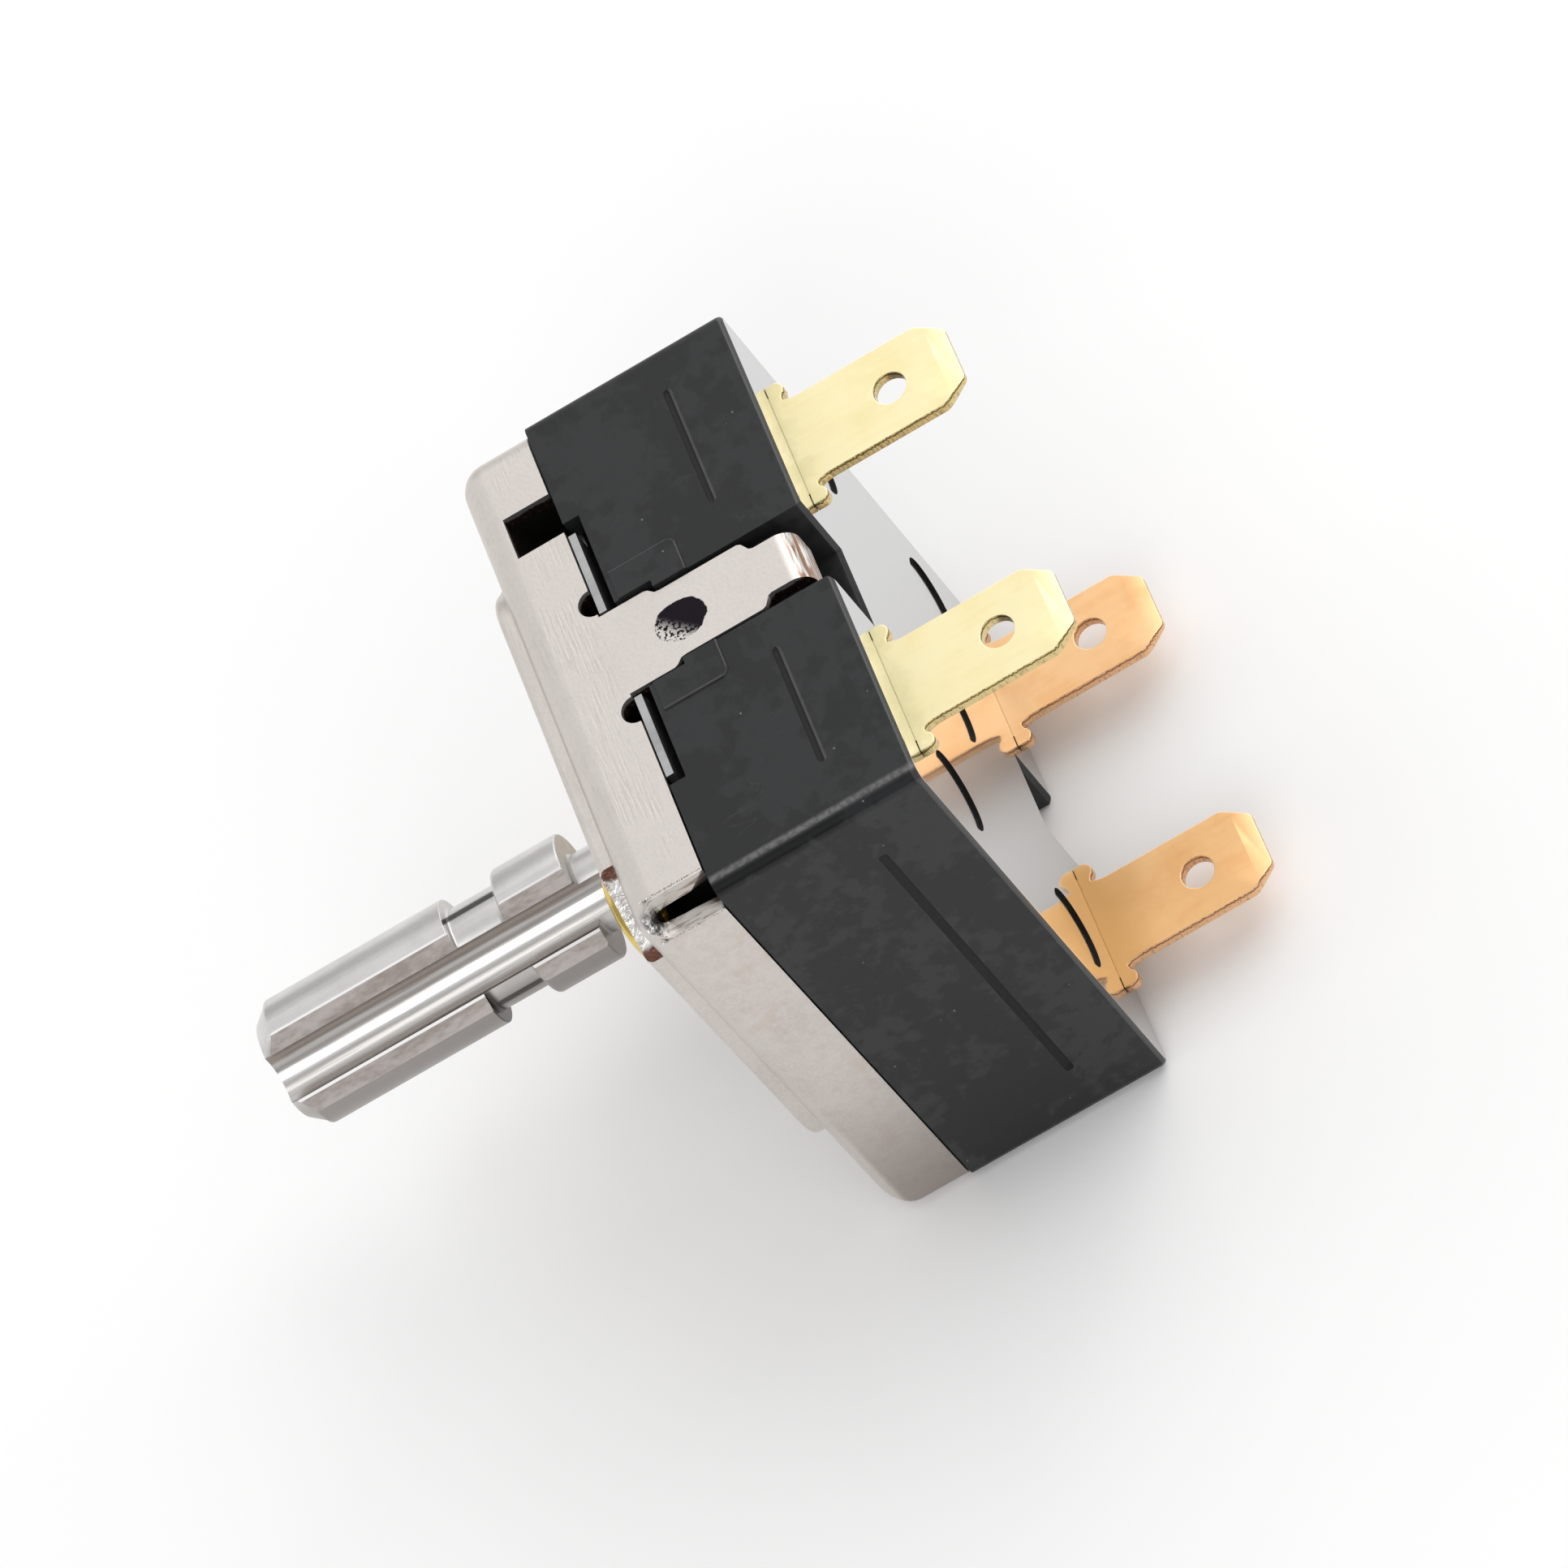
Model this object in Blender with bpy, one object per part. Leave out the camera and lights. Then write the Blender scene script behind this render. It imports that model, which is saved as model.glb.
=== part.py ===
"""Square panel-mount rotary switch with a slotted spindle and four blade terminals.

Run with: blender --background --python part.py

Every piece is drawn in the switch's own frame, in millimetres: the spindle turns about the
Y axis, its tip points to -Y and the terminals to +Y, and Y = 0 is the rim of the folded front
plate. An empty then stands the whole switch on its lower side, with the origin under its middle.
"""

import math

import bmesh
import bpy
from mathutils import Matrix, Vector

MM = 0.001
CURVE_SIDES = 48
SMALL_SIDES = 24

# Folded sheet-steel front plate: a square pan with two long straps
PLATE_SIDE = 37.8
SHEET = 1.0
PAN_DEPTH = 5.25
BEND_RADIUS = 1.9
PAD_RAISE = 0.95
PAD_MARGIN = 1.45
PAD_DRAFT = 0.3
PAD_SHEARED_ALONG = 5.05
PAD_SHEARED_DOWN = 3.5
PAD_ROUND_CORNER = 7.9
CORNER_SLIT_DEPTH = 4.0
OPEN_CORNER_GAP = (1.96, 2.0)
CLOSED_CORNER_GAP = (1.4, 1.9)
CLOSED_CORNER_DEPTH = 3.4
WINDOW_INSET = 8.8
WINDOW_WIDTH = 3.2
WINDOW_DEPTH = 3.2
NOTCH_OFFSET = 1.2
NOTCH_RADIUS = 0.95
STRAP_ROOT_WIDTH = 6.2
STRAP_WIDTH = 5.2
STRAP_TIP_WIDTH = 3.6
STRAP_ROOT_END = 3.2
STRAP_NARROWING = 9.3
STRAP_STEP = 0.6
STRAP_HOOK_Y = 12.8
STRAP_EMBED = 1.2
STRAP_HOOK_LENGTH = 1.6
STRAP_BEND_RADIUS = 1.3

# Black moulded housing
HOUSING_STEP = 0.1
HOUSING_BACK = 13.95
HOUSING_WALL = 2.4
BACK_WALL = 3.2
HOUSING_CORNER = 0.9
BACK_RIM_ROUND = 0.35
PLATE_LEDGE = 0.7
PLATE_NOTCH_MARGIN = 0.85
PLATE_NOTCH_DEPTH = 1.25
STRAP_POCKET_DEPTH = 5.8
GUIDE_REACH = 2.5
GUIDE_LOW = 1.6
GUIDE_HIGH = 6.1
GUIDE_RAISE = 0.15
GUIDE_CORNER = 0.6
GROOVE_Y = 9.15
GROOVE_WIDTH = 0.55
GROOVE_DEPTH = 0.25
GROOVE_STARTS = {1: 5.5, -1: 6.2}
GROOVE_INSETS = {1: 4.2, -1: 3.3}
PLAIN_GROOVE_INSET = 4.85
BACK_MARK_RADIUS = 2.75
BACK_CENTRE_RADIUS = 3.6
BACK_MARK_DEPTH = 0.45
BACK_MARK_INSET_X = 5.2
BACK_MARK_INSET_Z = 10.15
PIVOT_BOSS_RADIUS = 4.5
PIVOT_BOSS_HEIGHT = 1.0

# Steel detent plate between the pan and the housing
DETENT_PLATE_THICKNESS = 0.5
DETENT_TONGUE_INSET = 9.15
DETENT_COUNT = 8
DETENT_HOLE_RADIUS = 0.9
STOP_FROM_BALLS = 2.9
STOP_WIDTH = 1.6
STOP_HEIGHT = 1.7
STOP_ANGLE = -90.0

# Spindle, die cast in one piece
SPINDLE_TIP = -33.2
SPINDLE_RADIUS = 4.3
TIP_CHAMFER = 1.1
CLIP_GROOVE_LOW = -19.4
CLIP_GROOVE_HIGH = -16.0
CLIP_GROOVE_RADIUS = 3.5
CLIP_GROOVE_SLANT = 0.15
COLLAR_CHAMFER = 0.25
COLLAR_END = -11.2
NECK_RADIUS = 2.7
JOURNAL_START = -8.2
FLAT_DISTANCE = 3.25
SLOT_WIDTH = 3.2
SLOT_WALL = 0.42
SLOT_FLOOR_RADIUS = 1.9
SLOT_END = -8.6
FLANGE_MARGIN = 0.5
FLANGE_THICKNESS = 1.0
SQUARE_SIDE = 6.0
SQUARE_END = 9.4
PIVOT_RADIUS = 2.0
PIVOT_END = 12.0
SPINDLE_TURN = 135.0
KEY_DIRECTION = 45.0

# Pieces that turn with the spindle
WASHER_THICKNESS = 0.4
ROTOR_WALL_GAP = 3.5
ROTOR_RIM_THICKNESS = 4.0
ROTOR_WEB_THICKNESS = 2.4
ROTOR_REAR = -0.5
ROTOR_BALL_LAND = 2.9
ROTOR_BORE_WALL = 1.6
BALL_RADIUS = 1.2
BALL_TRAVEL = 0.4
BALL_BORE_RADIUS = 1.4
BALL_BORE_BOTTOM = 0.5
SPRING_WIRE = 0.25
SPRING_RADIUS = 0.8
SPRING_TURNS = 3.5
CAM_LOBE_RADIUS = 6.8
CAM_LIFT = 1.0
CAM_FRONT = 1.4
CAM_REAR = 9.1
CAM_VALLEYS = (45.0, 135.0, 270.0, 315.0)
CAM_VALLEY_HALF_ANGLE = 13.0
CAM_RAMP_ANGLE = 8.0

# Blade terminals and contacts
TAB_WIDTH = 6.35
TAB_THICKNESS = 0.8
TAB_TIP = 25.4
TAB_TIP_CHAMFER = (1.2, 1.7)
TAB_LEAD_IN = 1.25
TAB_TIP_THICKNESS = 0.4
TAB_HOLE_Y = 20.97
TAB_HOLE_RADIUS = 1.1
TAB_SIDE_INSET = 9.0
TAB_EAR_HALF = 4.85
TAB_EAR_HEIGHT = 1.15
TAB_EAR_ROUND = 0.55
TAB_NOTCH_SIDE = 0.25
TAB_NOTCH_HEIGHT = 0.72
TAB_SHOULDER = 1.65
TAB_NECK_HALF = 4.0
UPPER_TAB_INSET = 4.0
LOWER_TAB_INSET = 3.4
BLADE_THICKNESS = 0.4
BLADE_LOW = 3.6
BLADE_HIGH = 8.6
BLADE_FROM_CAM = 1.6
BLADE_PAST_CONTACT = 2.0
FOLLOWER_HALF = 2.6
CONTACT_PAST_CAM = 2.4
CONTACT_RADIUS = 1.5
CONTACT_HEAD = 0.5
CONTACT_SHANK = 0.7
CONTACT_UPSET_RADIUS = 1.1
CONTACT_UPSET = 0.3
CONTACT_GAP = 1.0

# Brass mounting inserts on the pad's long diagonal
INSERT_INSET = 4.36
INSERT_HEAD_RADIUS = 3.0
INSERT_HEAD_HEIGHT = 0.65
INSERT_BARREL_RADIUS = 1.95
INSERT_BORE_RADIUS = 1.5
INSERT_FOOT_RADIUS = 2.45
INSERT_FOOT_THICKNESS = 0.4

# Clearances
SEAT = 0.1
RUNNING = 0.3
SLIDE_FIT = 0.15

# How far a cutter passes the face that it opens
PAST = 1.0

HALF_PLATE = PLATE_SIDE / 2
HALF_HOUSING = HALF_PLATE + HOUSING_STEP
HALF_HEIGHT = HALF_HOUSING + GUIDE_RAISE
PAN_FRONT = -PAN_DEPTH
PAD_FRONT = PAN_FRONT - PAD_RAISE
PAD_INSIDE = PAD_FRONT + SHEET
HOUSING_FRONT = SLIDE_FIT
CAVITY_HALF = HALF_HOUSING - HOUSING_WALL
LEDGE_HALF = CAVITY_HALF + PLATE_LEDGE
CAVITY_BACK = HOUSING_BACK - BACK_WALL
DETENT_FRONT = SEAT
DETENT_REAR = DETENT_FRONT + DETENT_PLATE_THICKNESS
LEDGE_Y = DETENT_REAR + RUNNING
STRAP_OUTER = HALF_PLATE
STRAP_INNER = HALF_PLATE - SHEET
SLOT_FLOOR_Z = STRAP_INNER - SLIDE_FIT
POCKET_FRONT = STRAP_HOOK_Y - SHEET - SEAT
WASHER_FRONT = PAD_INSIDE + RUNNING
HALF_PAD = HALF_PLATE - PAD_MARGIN
DETENT_TONGUE_HALF = HALF_PLATE - DETENT_TONGUE_INSET
PLATE_NOTCH_HALF = DETENT_TONGUE_HALF + PLATE_NOTCH_MARGIN
FLANGE_FRONT = WASHER_FRONT + WASHER_THICKNESS + RUNNING
FLANGE_REAR = FLANGE_FRONT + FLANGE_THICKNESS
SPINDLE_HOLE_RADIUS = SPINDLE_RADIUS + RUNNING
SQUARE_HOLE_HALF = SQUARE_SIDE / 2 + 0.2
SQUARE_CORNER = SQUARE_SIDE / 2 * math.sqrt(2)
ROTOR_RADIUS = STRAP_INNER - ROTOR_WALL_GAP
DETENT_CIRCLE = ROTOR_RADIUS - ROTOR_BALL_LAND
STOP_RADIUS = DETENT_CIRCLE - STOP_FROM_BALLS
ROTOR_RECESS_RADIUS = DETENT_CIRCLE - BALL_BORE_RADIUS - ROTOR_BORE_WALL
FLANGE_RADIUS = ROTOR_RECESS_RADIUS - FLANGE_MARGIN
ROTOR_FRONT = ROTOR_REAR - ROTOR_RIM_THICKNESS
BALL_CENTRE_Y = DETENT_FRONT - SLIDE_FIT - BALL_RADIUS
BORE_BOTTOM_Y = ROTOR_FRONT + BALL_BORE_BOTTOM
SHEARED_MIDDLE = HALF_PAD - PAD_SHEARED_ALONG * PAD_SHEARED_DOWN / (PAD_SHEARED_ALONG + PAD_SHEARED_DOWN)
INSERT_OFFSET = SHEARED_MIDDLE - INSERT_INSET / math.sqrt(2)
TAB_MIDDLE = HALF_HOUSING - TAB_SIDE_INSET
UPPER_TAB_Z = HALF_HOUSING - UPPER_TAB_INSET
LOWER_TAB_Z = LOWER_TAB_INSET - HALF_HOUSING
BLADE_FROM_AXIS = CAM_LOBE_RADIUS + BLADE_FROM_CAM
CONTACT_Z = CAM_LOBE_RADIUS + CONTACT_PAST_CAM
BLADE_END = CONTACT_Z + BLADE_PAST_CONTACT
UPPER_LEG_X = BLADE_FROM_AXIS - BLADE_THICKNESS / 2 - 2 * CONTACT_HEAD - 2 * SEAT - CONTACT_GAP - TAB_THICKNESS
MIDDLE_Y = (SPINDLE_TIP + TAB_TIP) / 2


def material(name, colour, roughness, metallic):
    """Return a plain material."""
    made = bpy.data.materials.new(name)
    made.use_nodes = True
    shader = made.node_tree.nodes["Principled BSDF"]
    shader.inputs["Base Color"].default_value = (*colour, 1.0)
    shader.inputs["Roughness"].default_value = roughness
    shader.inputs["Metallic"].default_value = metallic
    made.diffuse_color = (*colour, 1.0)
    return made


def placed(across, up, along, axis):
    """Turn outline coordinates and a height along axis into a point in metres."""
    if axis == "Y":
        return Vector((across, along, up)) * MM
    if axis == "Z":
        return Vector((across, up, along)) * MM
    return Vector((along, across, up)) * MM


def loft(rings):
    """Return a closed mesh through rings of points with the same count."""
    mesh = bmesh.new()
    loops = [[mesh.verts.new(point) for point in ring] for ring in rings]
    for first, second in zip(loops, loops[1:]):
        for index, corner in enumerate(first):
            after = (index + 1) % len(first)
            mesh.faces.new((corner, first[after], second[after], second[index]))
    mesh.faces.new(reversed(loops[0]))
    mesh.faces.new(loops[-1])
    bmesh.ops.recalc_face_normals(mesh, faces=mesh.faces)
    return mesh


def prism(outline, low, high, axis="Y"):
    """Return an outline drawn across an axis and pulled from low to high."""
    return loft([[placed(a, b, level, axis) for a, b in outline] for level in (low, high)])


def block(low, high):
    """Return a box between two corners."""
    outline = ((low[0], low[2]), (high[0], low[2]), (high[0], high[2]), (low[0], high[2]))
    return prism(outline, low[1], high[1])


def arc(centre, radius, start, end, steps):
    """Return points on an arc, from start to end in degrees."""
    angles = [math.radians(start + (end - start) * step / steps) for step in range(steps + 1)]
    return [(centre[0] + radius * math.cos(a), centre[1] + radius * math.sin(a)) for a in angles]


def circle(centre, radius, sides=SMALL_SIDES):
    """Return the corners of a round outline."""
    return arc(centre, radius, 0.0, 360.0 - 360.0 / sides, sides - 1)


def turned(profile, sides=CURVE_SIDES, centre=(0.0, 0.0)):
    """Return a closed profile of (radius, y) points turned about a line along Y."""
    mesh = bmesh.new()
    rings = []
    for radius, level in profile:
        count = 1 if radius < 1e-6 else sides
        ring = []
        for side in range(count):
            angle = 2 * math.pi * side / sides
            across = centre[0] + radius * math.cos(angle)
            up = centre[1] + radius * math.sin(angle)
            ring.append(mesh.verts.new(placed(across, up, level, "Y")))
        rings.append(ring)
    for index, first in enumerate(rings):
        second = rings[(index + 1) % len(rings)]
        if len(first) == 1 and len(second) == 1:
            continue
        for side in range(sides):
            after = (side + 1) % sides
            corners = [first[side % len(first)], first[after % len(first)]]
            corners += [second[after % len(second)], second[side % len(second)]]
            mesh.faces.new(list(dict.fromkeys(corners)))
    bmesh.ops.recalc_face_normals(mesh, faces=mesh.faces)
    return mesh


def ribbon(path, half_widths, thickness, width_axis, width_centre=0.0):
    """Return a flat strip along a path of (across, along) points, with a width at each point."""
    rings = []
    for index, (point, half) in enumerate(zip(path, half_widths)):
        before = Vector(path[max(index - 1, 0)])
        after = Vector(path[min(index + 1, len(path) - 1)])
        heading = (after - before).normalized()
        side = Vector((-heading.y, heading.x)) * thickness / 2
        inner = Vector(point) - side
        outer = Vector(point) + side
        low = width_centre - half
        high = width_centre + half
        corners = ((inner, low), (inner, high), (outer, high), (outer, low))
        rings.append([placed(spot.x, spot.y, level, width_axis) for spot, level in corners])
    return loft(rings)


class Switch:
    """Collects the finished pieces under one empty that stands the switch up."""

    def __init__(self):
        self.base = bpy.data.objects.new("switch", None)
        self.base.location = Vector((0.0, -MIDDLE_Y, HALF_HEIGHT)) * MM
        bpy.context.scene.collection.objects.link(self.base)

    def add(self, name, mesh, finish=None, origin=(0.0, 0.0, 0.0)):
        """Make an object from a bmesh, with its origin at a point of the switch's frame."""
        place = Vector(origin) * MM
        bmesh.ops.translate(mesh, verts=mesh.verts, vec=-place)
        data = bpy.data.meshes.new(name)
        mesh.to_mesh(data)
        mesh.free()
        made = bpy.data.objects.new(name, data)
        made.location = place
        made.parent = self.base
        bpy.context.scene.collection.objects.link(made)
        if finish:
            data.materials.append(finish)
            data.shade_smooth()
            data.set_sharp_from_angle(angle=math.radians(30.0))
        else:
            made.hide_render = True
            made.display_type = "WIRE"
        return made

    def combine(self, piece, operation, meshes):
        """Cut meshes from a piece, or join them to it."""
        for number, mesh in enumerate(meshes, 1):
            tool = self.add(f"{piece.name}_{operation.lower()}_{number}", mesh)
            change = piece.modifiers.new(tool.name, "BOOLEAN")
            change.operation = operation
            change.object = tool

    def cut(self, piece, meshes):
        """Cut meshes from a piece."""
        self.combine(piece, "DIFFERENCE", meshes)

    def join(self, piece, meshes):
        """Join meshes to a piece."""
        self.combine(piece, "UNION", meshes)


def square_ring(half, corner, level):
    """Return a square with small rounded corners, across Y."""
    points = []
    for quarter, (sx, sz) in enumerate(((1, 1), (-1, 1), (-1, -1), (1, -1))):
        centre = (sx * (half - corner), sz * (half - corner))
        points += arc(centre, corner, quarter * 90.0, quarter * 90.0 + 90.0, 3)
    return [placed(a, b, level, "Y") for a, b in points]


def pan(half, front, radius, rim):
    """Return a square block with a rounded front edge, from its front face to the rim."""
    rings = []
    corner = max(radius, 0.3)
    for turn in range(0, 91, 18):
        angle = math.radians(turn)
        inset = radius * (1 - math.sin(angle))
        level = front + radius * (1 - math.cos(angle))
        rings.append(square_ring(half - inset, max(corner - inset, 0.3), level))
    rings.append(square_ring(half, corner, rim))
    return loft(rings)


def pad_outline(inset, shear=0.0):
    """Return the raised pad: two corners sheared off, the two others cut back and rounded.

    The folded sides lie inset inside the pad's full size, and the sheared corners by shear.
    """
    half = HALF_PAD - inset
    start = HALF_PAD - shear
    slope = PAD_SHEARED_DOWN / PAD_SHEARED_ALONG
    rounded = PAD_ROUND_CORNER
    blend = 22.5
    reach = 1.2
    curve = 2 * reach
    points = [(half, start - PAD_SHEARED_DOWN + (start - half) * slope)]
    points += [(start - PAD_SHEARED_ALONG + (start - half) / slope, half)]
    points += [(-half + rounded + reach, half)]
    points += arc((-half + rounded + reach, half - curve), curve, 90.0 + blend / 2, 135.0, 3)
    points += arc((-half + curve, half - rounded - reach), curve, 135.0, 180.0 - blend / 2, 3)
    points += [(-half, half - rounded - reach)]
    return points + [(-a, -b) for a, b in points]


def strap(side):
    """Return one strap, hooked inwards at its end, on the upper (+1) or lower (-1) side."""
    middle = STRAP_OUTER - SHEET / 2
    bend = STRAP_BEND_RADIUS - SHEET / 2
    bend_y = STRAP_HOOK_Y - STRAP_BEND_RADIUS
    bend_z = STRAP_OUTER - STRAP_BEND_RADIUS
    stations = [
        (-STRAP_EMBED, middle, STRAP_ROOT_WIDTH),
        (STRAP_ROOT_END, middle, STRAP_ROOT_WIDTH),
        (STRAP_ROOT_END + STRAP_STEP, middle, STRAP_WIDTH),
        (STRAP_NARROWING, middle, STRAP_WIDTH),
        (STRAP_NARROWING + STRAP_STEP, middle, STRAP_TIP_WIDTH),
    ]
    for along, up in arc((bend_y, bend_z), bend, 90.0, 0.0, 6):
        stations.append((along, up, STRAP_TIP_WIDTH))
    stations.append((bend_y + bend, bend_z - STRAP_HOOK_LENGTH, STRAP_TIP_WIDTH))
    path = [(along, side * up) for along, up, width in stations]
    halves = [width / 2 for along, up, width in stations]
    return ribbon(path, halves, SHEET, "X")


def open_corner(side):
    """Return the cutter for a torn corner: a gap that opens from a slanted web to the rim."""
    end_x = HALF_PLATE - OPEN_CORNER_GAP[0]
    end_z = HALF_PLATE - OPEN_CORNER_GAP[1]
    far = HALF_PLATE + PAST
    rim = [(end_x, far), (end_x, end_z), (far, end_z), (far, far)]
    web = [(end_x, far), ((end_x + HALF_PLATE) / 2, (HALF_PLATE + end_z) / 2), (far, end_z), (far, far)]
    rings = []
    for outline, level in ((web, -CORNER_SLIT_DEPTH), (rim, PAST)):
        rings.append([placed(side * a, side * b, level, "Y") for a, b in outline])
    return loft(rings)


def closed_corner(side):
    """Return the cutter that parts two walls at a corner without a sheared pad."""
    far = HALF_PLATE + PAST
    xs = sorted((-side * (HALF_PLATE - CLOSED_CORNER_GAP[0]), -side * far))
    zs = sorted((side * (HALF_PLATE - CLOSED_CORNER_GAP[1]), side * far))
    return block((xs[0], -CLOSED_CORNER_DEPTH, zs[0]), (xs[1], PAST, zs[1]))


def build_front_plate(switch, steel):
    """The folded pan with its raised pad, straps, window and corner slits."""
    plate = switch.add("front_plate", pan(HALF_PLATE, PAN_FRONT, BEND_RADIUS, 0.0), steel)
    outer = pad_outline(0.0)
    face = pad_outline(PAD_DRAFT)
    foot = [placed(a, b, PAN_FRONT + SHEET / 2, "Y") for a, b in outer]
    middle = [placed(a, b, PAD_FRONT + PAD_DRAFT, "Y") for a, b in outer]
    top = [placed(a, b, PAD_FRONT, "Y") for a, b in face]
    switch.join(plate, [loft([foot, middle, top])])
    hollow = pad_outline(SHEET, SHEET)
    inside = pan(HALF_PLATE - SHEET, PAN_FRONT + SHEET, BEND_RADIUS - SHEET, PAST)
    cuts = [inside, prism(hollow, PAD_INSIDE, PAN_FRONT + SHEET + PAST / 2)]
    cuts += [open_corner(1), open_corner(-1), closed_corner(1), closed_corner(-1)]
    wall = (HALF_PLATE - 2 * SHEET, HALF_PLATE + PAST)
    for side in (1, -1):
        near, far = sorted((side * wall[0], side * wall[1]))
        window = HALF_PLATE - WINDOW_INSET
        ends = sorted((-side * window, -side * (window + WINDOW_WIDTH)))
        cuts.append(block((ends[0], -WINDOW_DEPTH, near), (ends[1], PAST, far)))
        for flank in (1, -1):
            spot = (flank * (STRAP_ROOT_WIDTH / 2 + NOTCH_OFFSET), 0.0)
            cuts.append(prism(circle(spot, NOTCH_RADIUS), near, far, "Z"))
    through = (PAD_FRONT - PAST, PAN_FRONT + SHEET + PAST)
    cuts.append(prism(circle((0.0, 0.0), SPINDLE_HOLE_RADIUS, CURVE_SIDES), *through))
    for side in (1, -1):
        spot = (side * INSERT_OFFSET, side * INSERT_OFFSET)
        cuts.append(prism(circle(spot, INSERT_BARREL_RADIUS + SLIDE_FIT), *through))
    switch.cut(plate, cuts)
    switch.join(plate, [strap(1), strap(-1)])


def build_detent_plate(switch, steel):
    """The flat plate with eight holes, a stop and tongues that key into the housing."""
    inner = LEDGE_HALF - RUNNING
    tongue = HALF_PLATE - SLIDE_FIT
    relief = STRAP_INNER - RUNNING
    notch = STRAP_ROOT_WIDTH / 2 + RUNNING
    top = [(inner, inner), (DETENT_TONGUE_HALF, inner), (DETENT_TONGUE_HALF, tongue)]
    top += [(notch, tongue), (notch, relief), (-notch, relief), (-notch, tongue)]
    top += [(-DETENT_TONGUE_HALF, tongue), (-DETENT_TONGUE_HALF, inner), (-inner, inner)]
    outline = top + [(-a, -b) for a, b in top]
    plate = switch.add("detent_plate", prism(outline, DETENT_FRONT, DETENT_REAR), steel)
    hole = SQUARE_CORNER + RUNNING
    cuts = [prism(circle((0.0, 0.0), hole, CURVE_SIDES), DETENT_FRONT - 1, DETENT_REAR + 1)]
    for number in range(DETENT_COUNT):
        spot = arc((0.0, 0.0), DETENT_CIRCLE, number * 360.0 / DETENT_COUNT, 360.0, 1)[0]
        cuts.append(prism(circle(spot, DETENT_HOLE_RADIUS), DETENT_FRONT - 1, DETENT_REAR + 1))
    window = STOP_WIDTH / 2 + RUNNING / 2
    low = STOP_RADIUS - DETENT_PLATE_THICKNESS / 2
    high = STOP_RADIUS + DETENT_PLATE_THICKNESS / 2
    lance = block((-window, DETENT_FRONT - 1, -high - STOP_HEIGHT), (window, DETENT_REAR + 1, -high))
    switch.cut(plate, cuts + [lance])
    stop_low = (-STOP_WIDTH / 2, DETENT_FRONT - STOP_HEIGHT, -high)
    stop = block(stop_low, (STOP_WIDTH / 2, DETENT_REAR, -low))
    switch.join(plate, [stop])


def housing_block():
    """Return the housing's outside with its rounded corners and back rim."""
    rings = [square_ring(HALF_HOUSING, HOUSING_CORNER, HOUSING_FRONT)]
    for turn in (0.0, 30.0, 60.0, 90.0):
        angle = math.radians(turn)
        inset = BACK_RIM_ROUND * (1 - math.cos(angle))
        level = HOUSING_BACK - BACK_RIM_ROUND * (1 - math.sin(angle))
        rings.append(square_ring(HALF_HOUSING - inset, HOUSING_CORNER, level))
    return loft(rings)


def strap_side_cuts(side):
    """Return the cutters for the strap's slot, its pocket and the marks beside it."""
    def slab(x_low, x_high, y_low, y_high, depth):
        near, far = sorted((side * (HALF_HOUSING - depth), side * (HALF_HOUSING + PAST)))
        return block((x_low, y_low, near), (x_high, y_high, far))

    slot_depth = HALF_HOUSING - SLOT_FLOOR_Z
    root = STRAP_ROOT_WIDTH / 2 + RUNNING
    slot = STRAP_WIDTH / 2 + RUNNING
    root_end = STRAP_ROOT_END + STRAP_STEP
    open_front = HOUSING_FRONT - PAST
    cuts = [slab(-root, root, open_front, root_end, slot_depth)]
    cuts.append(slab(-slot, slot, root_end - 0.5, HOUSING_BACK + PAST, slot_depth))
    cuts.append(slab(-slot, slot, POCKET_FRONT, HOUSING_BACK + PAST, STRAP_POCKET_DEPTH))
    rim = HOUSING_WALL + 0.5
    cuts.append(slab(-PLATE_NOTCH_HALF, PLATE_NOTCH_HALF, open_front, PLATE_NOTCH_DEPTH, rim))
    low = GROOVE_Y - GROOVE_WIDTH / 2
    high = GROOVE_Y + GROOVE_WIDTH / 2
    for flank in (1, -1):
        corner = side * flank
        ends = sorted((flank * GROOVE_STARTS[corner], flank * (HALF_HOUSING - GROOVE_INSETS[corner])))
        cuts.append(slab(ends[0], ends[1], low, high, GROOVE_DEPTH))
    return cuts


def strap_guide(side):
    """Return the low raised pad that the strap's slot is cut through."""
    half = STRAP_ROOT_WIDTH / 2 + GUIDE_REACH
    inset = GUIDE_CORNER
    outline = arc((half - inset, GUIDE_HIGH - inset), inset, 0.0, 90.0, 3)
    outline += arc((inset - half, GUIDE_HIGH - inset), inset, 90.0, 180.0, 3)
    outline += [(-half, GUIDE_LOW), (half, GUIDE_LOW)]
    levels = sorted((side * (HALF_HOUSING - 0.5), side * HALF_HEIGHT))
    return prism(outline, levels[0], levels[1], "Z")


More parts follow.
